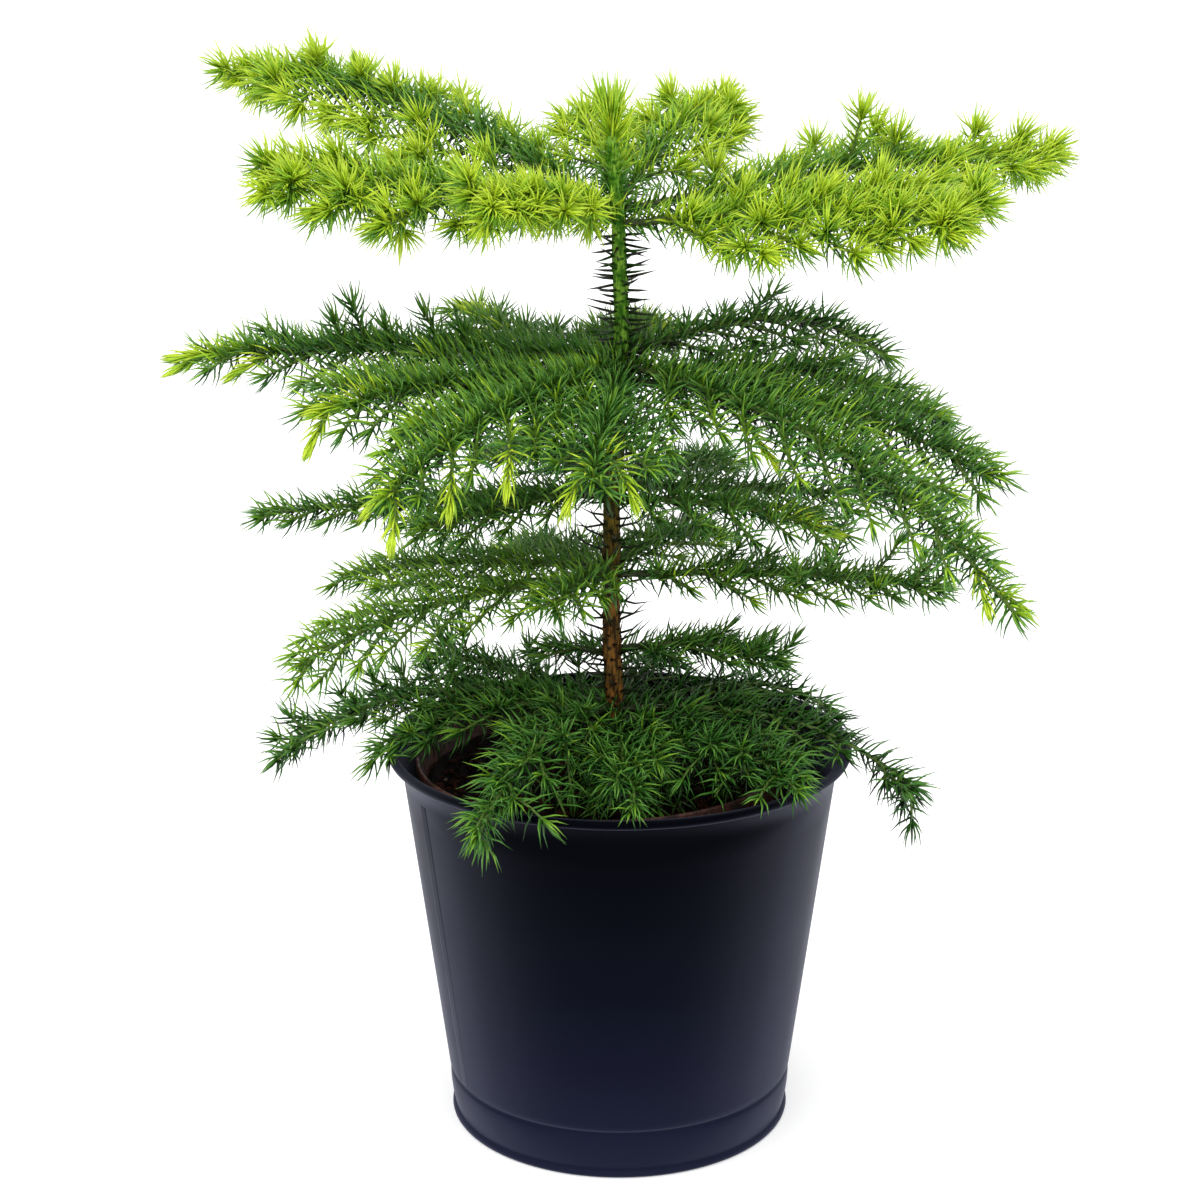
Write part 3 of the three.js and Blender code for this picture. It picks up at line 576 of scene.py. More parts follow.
# whorl, direction seen from above (0 is +X, 90 is the back), height on the stem, reach, lift of
# the straight line, sag of the tip, longest side twig, side-twig stations, needle length
BOUGHS = [
    ("top", 152, 299, 143, 59, 22, 32, 9, 8.5),
    ("top", 195, 295, 108, 27, 11, 38, 8, 8.5),
    ("top", -20, 294, 113, 15, 7, 36, 8, 8.5),
    ("top", 17, 298, 152, 25, 13, 30, 9, 8.5),
    ("top", 66, 300, 88, 42, 18, 26, 6, 8),
    ("top", 106, 302, 46, 30, 6, 16, 4, 8),
    ("top", -127, 298, 66, 18, 9, 22, 5, 8),
    ("upper", 174, 252, 146, 7, 10, 26, 9, 8),
    ("upper", -152, 247, 106, 8, 11, 34, 7, 8),
    ("upper", -124, 250, 122, -1, 21, 33, 8, 8),
    ("upper", -95, 246, 92, -2, 13, 30, 6, 8),
    ("upper", -22, 245.5, 124, 2, 26, 38, 8, 8),
    ("upper", -44, 251, 158, -12, 44, 30, 9, 8),
    ("upper", 27, 253.5, 105, 25, 39, 19, 7, 8),
    ("upper", 2, 248.8, 106, 6, 25, 30, 6, 8),
    ("upper", 82, 253, 70, 6, 8, 22, 5, 8),
    ("upper", 128, 249, 92, 4, -6, 22, 6, 8),
    ("middle", 186, 209, 116, 0, 4, 20, 7, 8),
    ("middle", 4, 212, 110, -4, 3, 22, 6, 8),
    ("middle", -35, 208, 86, 10, 11, 28, 5, 8),
    ("middle", -150, 212, 72, -3, 4, 22, 5, 8),
    ("middle", 62, 209, 88, 4, 10, 24, 5, 8),
    ("middle", 118, 212, 92, 4, 10, 24, 5, 8),
    ("lower", -152, 182, 112, 5, 22, 36, 7, 8),
    ("lower", 165, 185, 96, 1, 12, 25, 6, 8),
    ("lower", -110, 186, 56, 4, 5, 18, 4, 8),
    ("lower", -5, 183, 110, 5, 9, 21, 7, 8),
    ("lower", 66, 186, 90, 2, 12, 24, 5, 8),
    ("lower", 114, 182, 86, 2, 12, 24, 5, 8),
    ("low", 12, 158, 60, 3, 13, 19, 4, 8),
    ("low", 150, 156, 30, 2, 4, 11, 2, 8),
    ("foot", 172, 140, 117, 13, 41, 28, 7, 8.5),
    ("foot", -170, 137, 82, 16, 30, 22, 5, 9),
    ("foot", 146, 137, 76, 14, 6, 18, 5, 9),
    ("foot", -117, 139, 95, 14, 34, 16, 5, 9),
    ("foot", -86, 134, 62, 6, 8, 18, 4, 9),
    ("foot", -41, 136, 80, 4, 13, 20, 5, 9),
    ("foot", -8, 138, 103, 8, 36, 22, 5, 9),
    ("foot", 38, 136, 100, 9, 31, 22, 5, 9),
    ("foot", 76, 137, 72, 6, 8, 20, 4, 9),
]
# How far a whorl's back twigs rise and its front twigs hang, as a share of their spread
FAN_RISE = {"top": 0.24, "upper": 0.42, "middle": 0.12, "lower": 0.15, "low": 0.1, "foot": 0}
FAN_HANG = {"top": 0.36, "upper": 0.45, "middle": 0.12, "lower": 0.15, "low": 0.1, "foot": 0}
FIRST_TWIG = 0.12      # share of the reach where the side twigs start
TWIG_SPAN = 0.82       # share of the reach along which they stand
TWIG_BEND = 0.22
BOUGH_SIDES = 7
BOUGH_RADIUS = 1.25
BOUGH_TIP_RADIUS = 0.6
TWIG_RADIUS = 0.7
TWIG_TIP_RADIUS = 0.4
FINER_RADIUS = 0.5
SHORTEST_TWIG = 5.0
BARE_TIP = 6
SWELLING = 0.14
LINE_STEP = 1.6
CLEARANCE = 1.0
LIP_DEPTH = 14
UP = Vector((0, 0, 1))


def sequence(seed):
    """A seeded sequence of numbers from 0 to 1."""
    state = (seed * 7919 + 104729) % 2147483647
    while True:
        state = (state * 16807) % 2147483647
        yield state / 2147483647


def bough_point(bough, t):
    """Point of a bough at share t of its reach."""
    _, turn, height, reach, lift, sag, *_ = bough
    centre = trunk_centre(height)
    out = reach * t
    return Vector((centre.x + out * math.cos(math.radians(turn)),
                   centre.y + out * math.sin(math.radians(turn)),
                   height + lift * t - sag * t ** 3))


def twig_lines(bough, index):
    """The side twigs of a bough, as line data for twig_point."""
    random = sequence(index + 1)
    stations = bough[7]
    for station in range(stations):
        for rank in (1, -1):
            jitter = [next(random) for _ in range(3)]
            t = FIRST_TWIG + TWIG_SPAN * (station + 0.5 + 0.25 * rank) / stations
            size = min(1, t / 0.28) ** 0.6 * min(1, (1.05 - t) / 0.6) ** 0.85
            ahead = (bough_point(bough, min(1, t + 0.02)) - bough_point(bough, t - 0.02)).normalized()
            aside = UP.cross(ahead).normalized() * rank
            tilt = (FAN_RISE if aside.y > 0 else FAN_HANG)[bough[0]] * min(1, 0.3 + t)
            aside.z = tilt * aside.y * (1.9 - 1.5 * jitter[2])
            yield {
                "length": bough[6] * size * (0.84 + 0.3 * jitter[0]),
                "spread": math.radians(60 - 20 * t + 14 * (jitter[1] - 0.5)),
                "ahead": ahead,
                "aside": aside.normalized(),
                "droop": 0.05 + 0.16 * jitter[2],
                "root": bough_point(bough, t),
            }


def twig_point(twig, distance):
    """Point of a side twig. It bends forwards as it grows, and its tip droops."""
    share = distance / twig["length"]
    angle = twig["spread"] * (1 - TWIG_BEND * share)
    return (twig["root"] + twig["ahead"] * distance * math.cos(angle)
            + twig["aside"] * distance * math.sin(angle)
            - UP * twig["droop"] * twig["length"] * share ** 2)


def clear_of_pots(points, air):
    """For each point, whether it lies outside the planter, the nursery pot and the soil."""
    x, y, z = np.moveaxis(np.asarray(points), -1, 0)
    from_axis = np.hypot(x, y)
    under_lip = z < PLANTER_HEIGHT - LIP_DEPTH
    outside = np.where(under_lip, wall_radius(z), PLANTER_RIM)
    beyond = (z > PLANTER_HEIGHT + air) | (from_axis > outside + air)
    from_pot = np.hypot(x - NURSERY_CENTRE[0], y - NURSERY_CENTRE[1])
    over_rim = (z > NURSERY_RIM_Z + air) & (from_axis < wall_radius(z) - SHEET - FLARE_SKIN - air)
    over_soil = (from_pot < nursery_radius(SOIL_Z) - NURSERY_WALL - air) & (z > SOIL_Z + air)
    return beyond | over_rim | over_soil


def make_line(points, start_radius, end_radius, **facts):
    """A twig's or bough's line as arrays: points, radii, and the frame at each point."""
    points = np.array(points)
    share = np.linspace(0, 1, len(points))
    tangent = unit(np.gradient(points, axis=0))
    side = unit(np.cross(tangent, facts.pop("upright", (0, 0, 1))))
    return {"points": points, "radii": start_radius + (end_radius - start_radius) * share,
            "tangent": tangent, "side": side, "over": np.cross(side, tangent), **facts}


def line_of(point_at, length):
    """Points of a line, a step apart, up to where it would enter a pot."""
    count = max(3, round(length / LINE_STEP))
    points = [tuple(point_at(length * i / count)) for i in range(count + 1)]
    free = clear_of_pots(points, CLEARANCE)
    return points[:int(np.argmin(free))] if not free.all() else points


# Twigs below the top whorl with a narrow lime tip, by bough: 0 is the bough's own tip. The tips
# hang, but for those of the level boughs.
ARROW_TIPS = {
    7: (0, 13, 17), 8: (0, 13), 9: (7, 11, 15, 16), 10: (9, 12), 11: (4,), 12: (17, 18),
    15: (0, 4), 16: (0, 7), 19: (0,),
}
LEVEL_ARROWS = (7, 12, 15, 16, 19)
ARROW_REACH = 15
ARROW_HANG = 0.022

# Finer twigs on the side twigs, by bough: how many on each, their length, and how far they hang,
# or rise where it is under 0. They turn towards the light in front.
STARS = (1, 7.5, 0)
FINER_TWIGS = {
    0: (STARS,), 1: (STARS, STARS), 2: (STARS, STARS), 3: (STARS,), 4: (STARS,), 6: (STARS,),
    26: ((1.2, 12, -0.9),), 29: ((1, 8, -0.4),), 31: ((1, 12, -0.4),), 32: ((1, 10, 0),),
    33: ((0.6, 9, -0.3),), 34: ((2, 13, 0.3),), 35: ((3, 16, 0.4),), 36: ((3, 17, 0.5),),
    37: ((2, 10, 0.3),),
}
FINER_SPREAD = math.radians(52)
# Sprigs that stand up on a bough: their places, as a share of its reach, and their lengths
SPRIGS = {
    0: ((0.77, 8), (0.66, 6), (0.58, 5)), 3: ((0.51, 17), (0.61, 8)),
    7: ((0.61, 10), (0.565, 15), (0.5, 8), (0.39, 13), (0.33, 7)),
    31: ((0.46, 8), (0.58, 9), (0.69, 9)), 33: ((0.82, 9), (0.96, 8)),
}
SPRIG_LEAN = (0.2, 0.5)


def finest_line(parent, points):
    """A line of the third order on a bough or a twig."""
    return make_line(points, FINER_RADIUS, TWIG_TIP_RADIUS, whorl=parent["whorl"], order=3,
                     needle=parent["needle"], bough=parent["bough"], number=-1)


def finer_lines(line):
    """Short twigs round a side twig, as lines."""
    for count, longest, hang in FINER_TWIGS.get(line["bough"], ()):
        for _ in range(int(count + chance.uniform(0, 1))):
            place = int(chance.uniform(0.15, 0.85) * (len(line["points"]) - 1))
            rolls = chance.uniform(0, 2 * math.pi, 2)
            outs = [math.cos(roll) * line["side"][place] + math.sin(roll) * line["over"][place]
                    for roll in rolls]
            out = min(outs, key=lambda way: way[1])
            length = longest * chance.uniform(0.7, 1.0)
            ahead = unit(math.cos(FINER_SPREAD) * line["tangent"][place] + math.sin(FINER_SPREAD) * out)
            root = line["points"][place]
            points = line_of(lambda d: root + ahead * d - np.array([0, 0, hang * d * d / length]), length)
            if len(points) > 3:
                yield finest_line(line, points)


def sprig_lines(line):
    """Upright sprigs on a bough, as lines."""
    for share, length in SPRIGS.get(line["bough"], ()):
        place = int(share * len(line["points"]))
        ahead = unit(np.array([0, 0, 1]) + chance.uniform(*SPRIG_LEAN) * line["tangent"][place])
        root = line["points"][place]
        yield finest_line(line, line_of(lambda d: root + ahead * d, length))


lines = []
for index, bough in enumerate(BOUGHS):
    whorl, _, height, reach, *_, needle = bough
    root_out = trunk_radius(height) * 0.6
    points = line_of(lambda d: bough_point(bough, (root_out + d) / reach), reach - BARE_TIP - root_out)
    lines.append(make_line(points, BOUGH_RADIUS, BOUGH_TIP_RADIUS, whorl=whorl, order=1,
                           needle=needle, bough=index, number=0))
    lines.extend(sprig_lines(lines[-1]))
    for number, twig in enumerate(twig_lines(bough, index)):
        if twig["length"] < SHORTEST_TWIG:
            continue
        hanging = number + 1 in ARROW_TIPS.get(index, ()) and index not in LEVEL_ARROWS
        arrow = ARROW_HANG if hanging else 0
        knee = twig["length"] - ARROW_REACH
        points = line_of(lambda d: twig_point(twig, d) - UP * arrow * max(0, d - knee) ** 2,
                         twig["length"])
        if len(points) > 3:
            lines.append(make_line(points, TWIG_RADIUS, TWIG_TIP_RADIUS, whorl=whorl, order=2,
                                   needle=needle, bough=index, number=number + 1))
            lines.extend(finer_lines(lines[-1]))


def tube(line, sides):
    """Points and triangles of a closed tube round a line, with a swelling under each needle."""
    count = len(line["points"])
    turn = 2 * np.pi * np.arange(sides) / sides
    swell = 1 + SWELLING * np.sin(3 * turn[None, :] + 2.4 * np.arange(count)[:, None])
    ring = (line["radii"][:, None] * swell)[..., None] * (
        np.cos(turn)[None, :, None] * line["side"][:, None, :]
        + np.sin(turn)[None, :, None] * line["over"][:, None, :])
    points = (line["points"][:, None, :] + ring).reshape(-1, 3)
    points = np.vstack([points, line["points"][0], line["points"][-1]])
    here = np.arange(sides)
    there = (here + 1) % sides
    rows = (np.arange(count - 1) * sides)[:, None]
    low = np.stack([rows + here, rows + sides + there, rows + there], axis=-1)
    high = np.stack([rows + here, rows + sides + here, rows + sides + there], axis=-1)
    last = (count - 1) * sides
    foot = np.stack([here, there, np.full(sides, count * sides)], axis=-1)
    head = np.stack([last + there, last + here, np.full(sides, count * sides + 1)], axis=-1)
    return points, np.vstack([low.reshape(-1, 3), high.reshape(-1, 3), foot, head])


def joined(bodies):
    """Several bodies' points and triangles as one."""
    starts = np.cumsum([0] + [len(points) for points, _ in bodies[:-1]])
    return (np.vstack([points for points, _ in bodies]),
            np.vstack([triangles + start for (_, triangles), start in zip(bodies, starts)]))


# Green twig skin: satin, darker within the first few centimetres from the stem.
DARK_REACH = 6.0
GREEN_REACH = 34.0
MOTTLE = 2.5
twig_skin, tree, shader = new_material("green_twig_skin")
place = add_node(tree, "ShaderNodeTexCoord", {}).outputs["Object"]
flat = add_node(tree, "ShaderNodeVectorMath", {0: place, 1: (1, 1, 0)}, operation="MULTIPLY")
out = add_node(tree, "ShaderNodeVectorMath", {0: flat.outputs["Vector"]}, operation="LENGTH")
age = add_node(tree, "ShaderNodeMapRange", {
    "Value": out.outputs["Value"], "From Min": DARK_REACH * MM, "From Max": GREEN_REACH * MM})
mottle = add_node(tree, "ShaderNodeTexNoise", {
    "Vector": place, "Scale": 1 / (MOTTLE * MM), "Detail": 3.0}).outputs["Fac"]
old_skin = add_node(tree, "ShaderNodeMix", {
    "Factor": mottle, "A": linear("#262e12"), "B": linear("#3a461a")}, data_type="RGBA")
young_skin = add_node(tree, "ShaderNodeMix", {
    "Factor": mottle, "A": linear("#3f5a1c"), "B": linear("#5f7c28")}, data_type="RGBA")
skin = add_node(tree, "ShaderNodeMix", {
    "Factor": age.outputs["Result"], "A": old_skin.outputs["Result"],
    "B": young_skin.outputs["Result"]}, data_type="RGBA")
set_inputs(tree, shader, {"Base Color": skin.outputs["Result"], "Roughness": 0.65})

cad_nodes = sorted(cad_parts)
WHORLS = ("top", "upper", "middle", "lower", "low", "foot")
for whorl in WHORLS:
    bodies = [tube(line, BOUGH_SIDES - line["order"]) for line in lines if line["whorl"] == whorl]
    twigs = joined_piece(whorl + "_twigs", *joined(bodies), smooth=True)
    twigs.data.materials.append(twig_skin)
    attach(twigs, "root")
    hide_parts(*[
        node for node in cad_nodes if node.startswith((whorl + "_bough", whorl + "_mass"))])

# ---------------------------------------------------------------- needles
# Awl-shaped needles sit all round every twig in a spiral, each on its own raised base, and curve
# forwards. The top whorl is this year's: its ends are lime and bushy. Older needles are dark. Those
# underneath a twig are painted darker, as painted shade, and those on top lighter, as painted
# light. A few twigs below the top have pushed a narrow lime tip.

NEEDLE_RINGS = ((0.0, 0.5), (0.5, 0.42))   # share of the length, share of the width
# The two darkest shades are painted shade, for needles under the twigs, deep in the crown and on the stem
SHADES = {
    "lime": "#c0de34",
    "spring": "#9cc92a",
    "fresh": "#74a52a",
    "leaf": "#5b9032",
    "green": "#447d28",
    "deep": "#2c6118",
    "shaded": "#1b400e",
    "dusky_painted_shade": "#1f2a16",
}
# How the needles of each whorl, and of the stem, grow. The shade of older needles is a place in
# SHADES; under and over shift it on the two sides of a twig, as painted shade underneath and
# painted light on top, and fresh shifts it towards its tip. Lime is the reach of the lime tips in
# mm. Lime and spacing are for boughs, twigs and finer twigs. The lean is from the twig's line, and
# closes towards its tip, which ends in a tuft. Rise is how much the needles turn up. Lengths and
# widths are shares.
OLDER = {
    "lime": (0, 0, 0), "under": 1.7, "over": 1.1, "fresh": 1.3, "spacing": (0.44, 0.6, 0.6),
    "lean": 68, "closing": 14, "rise": 0.25, "length": 1.0, "width": 0.74, "curve": 0.24, "tuft": 6,
    "tuft_lean": 42}
ON_STEM = {
    "lime": (0,), "under": 0, "over": 0, "fresh": 0, "closing": 0, "tuft": 0, "tuft_lean": 0,
    "rise": 0}
HABITS = {
    "top": {
        "shade": 3.6, "lime": (30, 12, 5), "under": 3.6, "over": 0.5, "fresh": 0,
        "spacing": (0.34, 0.44, 0.5), "lean": 72, "closing": -6, "rise": 0.08, "length": 1.05,
        "width": 0.78, "curve": 0.22, "tuft": 30, "tuft_lean": 84},
    "upper": {
        **OLDER, "shade": 4.4, "under": 2.5, "over": 1.6, "spacing": (0.26, 0.46, 0.5), "lean": 70,
        "closing": 16, "rise": 0.5, "length": 1.12, "width": 0.8},
    "middle": {**OLDER, "shade": 4.1, "fresh": 1.0},
    "lower": {**OLDER, "shade": 3.8},
    "low": {**OLDER, "shade": 4.4, "over": 1.0, "fresh": 0.8, "spacing": (0.4, 0.5, 0.5), "rise": 0.2},
    # The foot whorl's older needles are painted darker than the other whorls', as painted shade under the
    # tiers above
    "foot": {
        **OLDER, "shade": 5.1, "under": 2.2, "over": 1.2, "fresh": 1.6, "spacing": (0.6, 0.8, 0.8),
        "lean": 75, "closing": 12, "rise": 0.08, "length": 0.98, "width": 0.82, "curve": 0.3,
        "tuft": 8, "tuft_lean": 60},
    "leader": {
        **ON_STEM, "shade": 4.0, "lime": (12,), "spacing": (0.36,), "lean": 66, "length": 0.72,
        "width": 0.8, "curve": 0.2, "tuft": 120, "tuft_lean": 60},
    # The needles on the stem take the darkest shade, as painted shade for the shade inside the crown
    "green_stem": {
        **ON_STEM, "shade": 7.0, "spacing": (0.5,), "lean": 90, "length": 0.88, "width": 1.1,
        "curve": 0.06},
    "brown_stem": {
        **ON_STEM, "shade": 7.0, "spacing": (0.9,), "lean": 94, "rise": 0.1, "length": 1.2,
        "width": 1.0, "curve": 0.4},
}
# How many shades younger than its whorl a bough is
YOUNGER = {
    1: 1.0, 2: 2.0, 3: 0.6, 4: 0.7, 6: 1.6, 8: 0.5, 9: 0.7, 11: 0.2, 12: 0.6, 13: -0.5, 23: 0.7,
    24: 0.5, 36: -0.5, 37: -0.9, 38: -1.0, 39: -0.8,
}
# How much wider apart than its whorl's the needles of a bough are
SPARSER = {11: 1.15, 12: 1.3, 13: 1.8, 14: 1.3, 18: 1.1, 38: 1.3, 39: 1.3}
# How deep along a twig its tuft starts in mm, and how long the tuft's needles are, as a share
TUFT_SHAPES = {"leader": (10.0, 1.75), "top": (2.0, 1.12), "other": (1.6, 1.0)}
TUFT_CORE = 8
# Reaches in mm along a twig: of its fresh tip, of the shortest young tip, of the fade from lime to
# the older shade, and of one spray
FRESH_REACH = 16
YOUNG_REACH = 7
FADE_REACH = 12
SPRAY_REACH = 5
SPRAYS = 60
# The shade where a lime tip ends, and how much longer it is on a bough that is a shade younger
LIME_END = 1.1
LIME_GAIN = 0.6
# How far needles vary in turn, in lean and in shade, and how far sprays vary in shade
TURN_SPREAD = 0.2
LEAN_SPREAD = 9
SHADE_SPREAD = 0.4
SPRAY_SPREAD = 0.35
FOOT_SHARE = 0.7
NEEDLE_AIR = 0.3
ARROW_CLOSING = 50
ARROW_LENGTH = 0.78
ARROW_TUFT = 10
ARROW_TUFT_LEAN = 22


def needle_template():
    """A three-sided needle. Columns: along it, its curve, and across it twice, all of size 1."""
    rows = []
    for share, width in NEEDLE_RINGS:
        for corner in range(3):
            turn = 2 * math.pi * corner / 3 + math.pi / 6
            rows.append((share, share ** 2, width * math.cos(turn), width * math.sin(turn)))
    rows.append((1, 1, 0, 0))
    triangles = [(0, 2, 1)]
    for corner in range(3):
        here, there = corner, (corner + 1) % 3
        triangles += [(here, there, there + 3), (here, there + 3, here + 3), (here + 3, there + 3, 6)]
    return np.array(rows), np.array(triangles)


def at_distance(line, distance, values):
    """Values of a line's points, read between them at distances along it."""
    steps = np.linalg.norm(np.diff(line["points"], axis=0), axis=1)
    along_line = np.concatenate([[0], np.cumsum(steps)])
    if values.ndim == 1:
        return np.interp(distance, along_line, values)
    return np.stack([np.interp(distance, along_line, values[:, i]) for i in range(3)], axis=1)


def needles_on(line):
    """Frames, feet and shades of the needles on one line."""
    habit = HABITS[line["whorl"]]
    kind = line["order"] - 1
    younger = YOUNGER.get(line["bough"], 0)
    lime = habit["lime"][kind] * (1 + LIME_GAIN * younger)
    closing, tuft, tuft_lean = habit["closing"], habit["tuft"], habit["tuft_lean"]
    arrow = line["number"] in ARROW_TIPS.get(line["bough"], ())
    tuft_depth, tuft_length = TUFT_SHAPES.get(line["whorl"], TUFT_SHAPES["other"])
    if arrow:
        lime, closing, tuft, tuft_lean = ARROW_REACH, ARROW_CLOSING, ARROW_TUFT, ARROW_TUFT_LEAN
    length = np.linalg.norm(np.diff(line["points"], axis=0), axis=1).sum()
    spacing = habit["spacing"][kind] * SPARSER.get(line["bough"], 1)
    count = int(length / spacing)
    total = count + tuft
    distance = (np.arange(count) + chance.uniform(0.2, 0.8, count)) * spacing
    distance = np.concatenate([distance, length - chance.uniform(0, tuft_depth, tuft)])
    to_tip = length - distance
    young = np.clip(1 - to_tip / max(lime, YOUNG_REACH), 0, 1) ** (0.5 if arrow else 1)
    fresh = np.clip(1 - to_tip / FRESH_REACH, 0, 1)

    turn = GOLDEN * np.arange(total) + chance.normal(0, TURN_SPREAD, total)
    lean = habit["lean"] - closing * young + chance.normal(0, LEAN_SPREAD, total)
    lean[count:] = chance.uniform(TUFT_CORE, max(tuft_lean, TUFT_CORE + 1), tuft)
    lean = np.radians(lean)[:, None]
    tangent = unit(at_distance(line, distance, line["tangent"]))
    side = unit(at_distance(line, distance, line["side"]))
    over = np.cross(side, tangent)
    out = np.cos(turn)[:, None] * side + np.sin(turn)[:, None] * over
    forward = np.cos(lean) * tangent + np.sin(lean) * out
    forward = unit(forward + np.array([0, 0, habit["rise"]]) * (1 - young[:, None]))
    inward = unit(tangent - (tangent * forward).sum(1, keepdims=True) * forward)
    across = np.cross(forward, inward)
    size = line["needle"] * habit["length"] * chance.uniform(0.76, 1.18, total)
    size[count:] *= tuft_length
    if arrow:
        size *= 1 - (1 - ARROW_LENGTH) * np.clip(1 - to_tip / ARROW_REACH, 0, 1)
    size = size[:, None]
    width = habit["width"]
    radius = at_distance(line, distance, line["radii"])[:, None]
    feet = at_distance(line, distance, line["points"]) + out * radius * FOOT_SHARE
    bend = inward * size * habit["curve"]
    frames = np.stack([forward * size, bend, inward * width, across * width], axis=1)

    grown_shade = habit["shade"] - younger
    fade = np.clip((to_tip - lime) / FADE_REACH, 0, 1)
    shade = np.where(to_tip < lime, LIME_END * np.clip(to_tip / max(lime, 0.1), 0, 1),
                     LIME_END + (grown_shade - LIME_END) * fade)
    if lime == 0:
        shade = grown_shade - habit["fresh"] * fresh
    spray = chance.normal(0, SPRAY_SPREAD, SPRAYS)[(distance / SPRAY_REACH).astype(int) % SPRAYS]
    shade = shade + spray + chance.normal(0, SHADE_SPREAD, total)
    # Painted shade and painted light: needles pointing down from a twig are shifted darker and those
    # pointing up lighter, less so where they are lime
    aged = np.clip(shade / 2, 0.55, 1)
    upward = out[:, 2]
    shade += aged * (habit["under"] * np.clip(-upward, 0, 1) - habit["over"] * np.clip(upward, 0, 1))
    tips = feet + forward * size + bend
    middles = feet + 0.5 * forward * size
    free = clear_of_pots(tips, NEEDLE_AIR) & clear_of_pots(middles, NEEDLE_AIR)
    return frames[free], feet[free], np.clip(np.round(shade[free]), 0, len(SHADES) - 1).astype(int)


GREEN_STEM = (250, 293)
BROWN_STEM = (118, 250)
LEADER = (293, TOP_Z - 9)
STEM_NEEDLE = 11.0
LEADER_NEEDLE = 10.0


def stem_line(low, high, needle, whorl):
    """A stretch of the stem as a line that carries needles."""
    heights = np.arange(low, high, LINE_STEP)
    points = [tuple(trunk_centre(z)) for z in heights]
    line = make_line(points, 1, 1, upright=(0, -1, 0), whorl=whorl, order=1, needle=needle,
                     bough=-1, number=0)
    line["radii"] = np.array([trunk_radius(min(z, TRUNK_TIP_Z)) for z in heights])
    return line


leader_line = stem_line(*LEADER, LEADER_NEEDLE, "leader")
stood_for = {whorl: [node for node in cad_nodes if node.startswith(whorl + "_mass")] for whorl in WHORLS}
stood_for.update(green_stem=["trunk"], brown_stem=["trunk"], leader=["leader_mass"])
grown = {whorl: [needles_on(line) for line in lines if line["whorl"] == whorl] for whorl in WHORLS}
grown["leader"] = [needles_on(leader_line)]
grown["green_stem"] = [needles_on(stem_line(*GREEN_STEM, STEM_NEEDLE, "green_stem"))]
grown["brown_stem"] = [needles_on(stem_line(*BROWN_STEM, STEM_NEEDLE, "brown_stem"))]
leader_shoot = stem_line(TRUNK_TIP_Z - 3, LEADER[1], LEADER_NEEDLE, "leader")
leader_shoot["radii"] = np.linspace(TRUNK_TIP_RADIUS, 0.5, len(leader_shoot["points"]))
leader = joined_piece("leader_shoot", *tube(leader_shoot, 8), smooth=True)
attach(leader, "root")
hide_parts("leader_mass")

# Waxy cuticle over soft green tissue: satin, with small shifts in hue from needle to needle.
DRIFT = 6.0
DARKER = (0.75, 0.82, 0.8, 1)
LIGHTER = (1.22, 1.12, 1.1, 1)
needle_waxes = []
for shade, code in SHADES.items():
    wax, tree, shader = new_material("needle_wax_" + shade)
    place = add_node(tree, "ShaderNodeTexCoord", {}).outputs["Object"]
    drift = add_node(tree, "ShaderNodeTexNoise", {
        "Vector": place, "Scale": 1 / (DRIFT * MM), "Detail": 2.0})
    drift_share = add_node(tree, "ShaderNodeMapRange", {
        "Value": drift.outputs["Fac"], "From Min": 0.3, "From Max": 0.7})
    darker, lighter = [
        tuple(c * by for c, by in zip(linear(code), factors)) for factors in (DARKER, LIGHTER)]
    hue = add_node(tree, "ShaderNodeMix", {
        "Factor": drift_share.outputs["Result"], "A": darker, "B": lighter}, data_type="RGBA")
    set_inputs(tree, shader, {
        "Base Color": hue.outputs["Result"], "Roughness": 0.42, "IOR": 1.42})
    needle_waxes.append(wax)
leader.data.materials.append(needle_waxes[list(SHADES).index("fresh")])

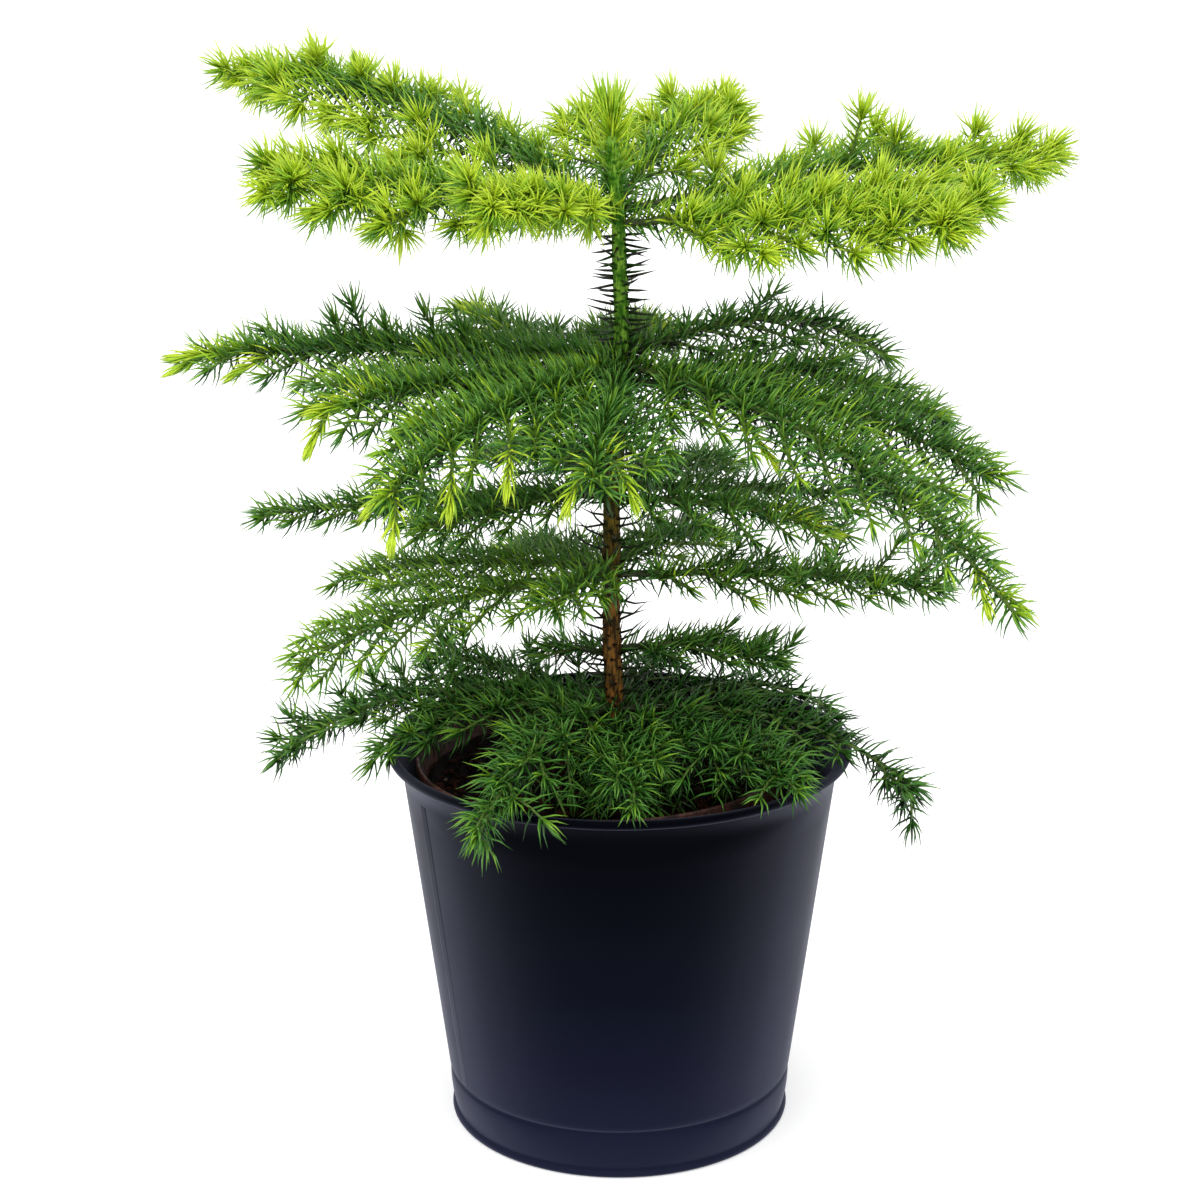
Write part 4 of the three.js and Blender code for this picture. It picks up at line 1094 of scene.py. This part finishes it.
template, template_triangles = needle_template()
for whorl, needles in grown.items():
    frames, feet, shades = [np.concatenate(column) for column in zip(*needles)]
    for number, shade in enumerate(SHADES):
        chosen = shades == number
        if not chosen.any():
            continue
        body = stamped(template, template_triangles, frames[chosen], feet[chosen])
        piece = joined_piece(f"{whorl}_needles_{shade}", *body, smooth=True)
        piece.data.materials.append(needle_waxes[number])
        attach(piece, "root")
        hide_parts(*stood_for[whorl])

# ---------------------------------------------------------------- floor, light and camera
# A plain white floor, a broad soft light from above, and a camera a little over the plant's top
# that looks down at it.

FLOOR_REACH = 12000
bm = bmesh.new()
bmesh.ops.create_grid(bm, x_segments=1, y_segments=1, size=FLOOR_REACH)
floor = finished_piece("floor", bm)
white, tree, shader = new_material("white_floor")
set_inputs(tree, shader, {
    "Base Color": linear("#f0f0f0"), "Roughness": 0.9,
    "Emission Color": linear("#ffffff"), "Emission Strength": 0.28})
floor.data.materials.append(white)

scene = bpy.context.scene
scene.view_settings.view_transform = "Standard"
world = bpy.data.worlds.new("studio")
world.use_nodes = True
set_inputs(world.node_tree, world.node_tree.nodes["Background"], {
    "Color": linear("#ffffff"), "Strength": 1.0})
scene.world = world

sun = bpy.data.lights.new("overhead_softbox", "SUN")
sun.energy = 1.6
sun.angle = math.radians(80)
sun_object = bpy.data.objects.new("overhead_softbox", sun)
sun_object.rotation_euler = (math.radians(24), math.radians(-9), 0)
scene.collection.objects.link(sun_object)

CAMERA_BACK = 780.2
CAMERA_HEIGHT = 397.2
CAMERA_PITCH = 0.278
FOCAL_SHARE = 2545.9 / 1200     # focal length over the frame's width
FRAME_SHIFT = -19.5 / 1200
SENSOR = 36
camera_data = bpy.data.cameras.new("camera")
camera_data.sensor_width = SENSOR
camera_data.lens = SENSOR * FOCAL_SHARE
camera_data.shift_x = FRAME_SHIFT
camera_data.clip_end = 100
camera = bpy.data.objects.new("camera", camera_data)
camera.location = (0, -CAMERA_BACK * MM, CAMERA_HEIGHT * MM)
camera.rotation_euler = (math.pi / 2 - CAMERA_PITCH, 0, 0)
scene.collection.objects.link(camera)
scene.camera = camera
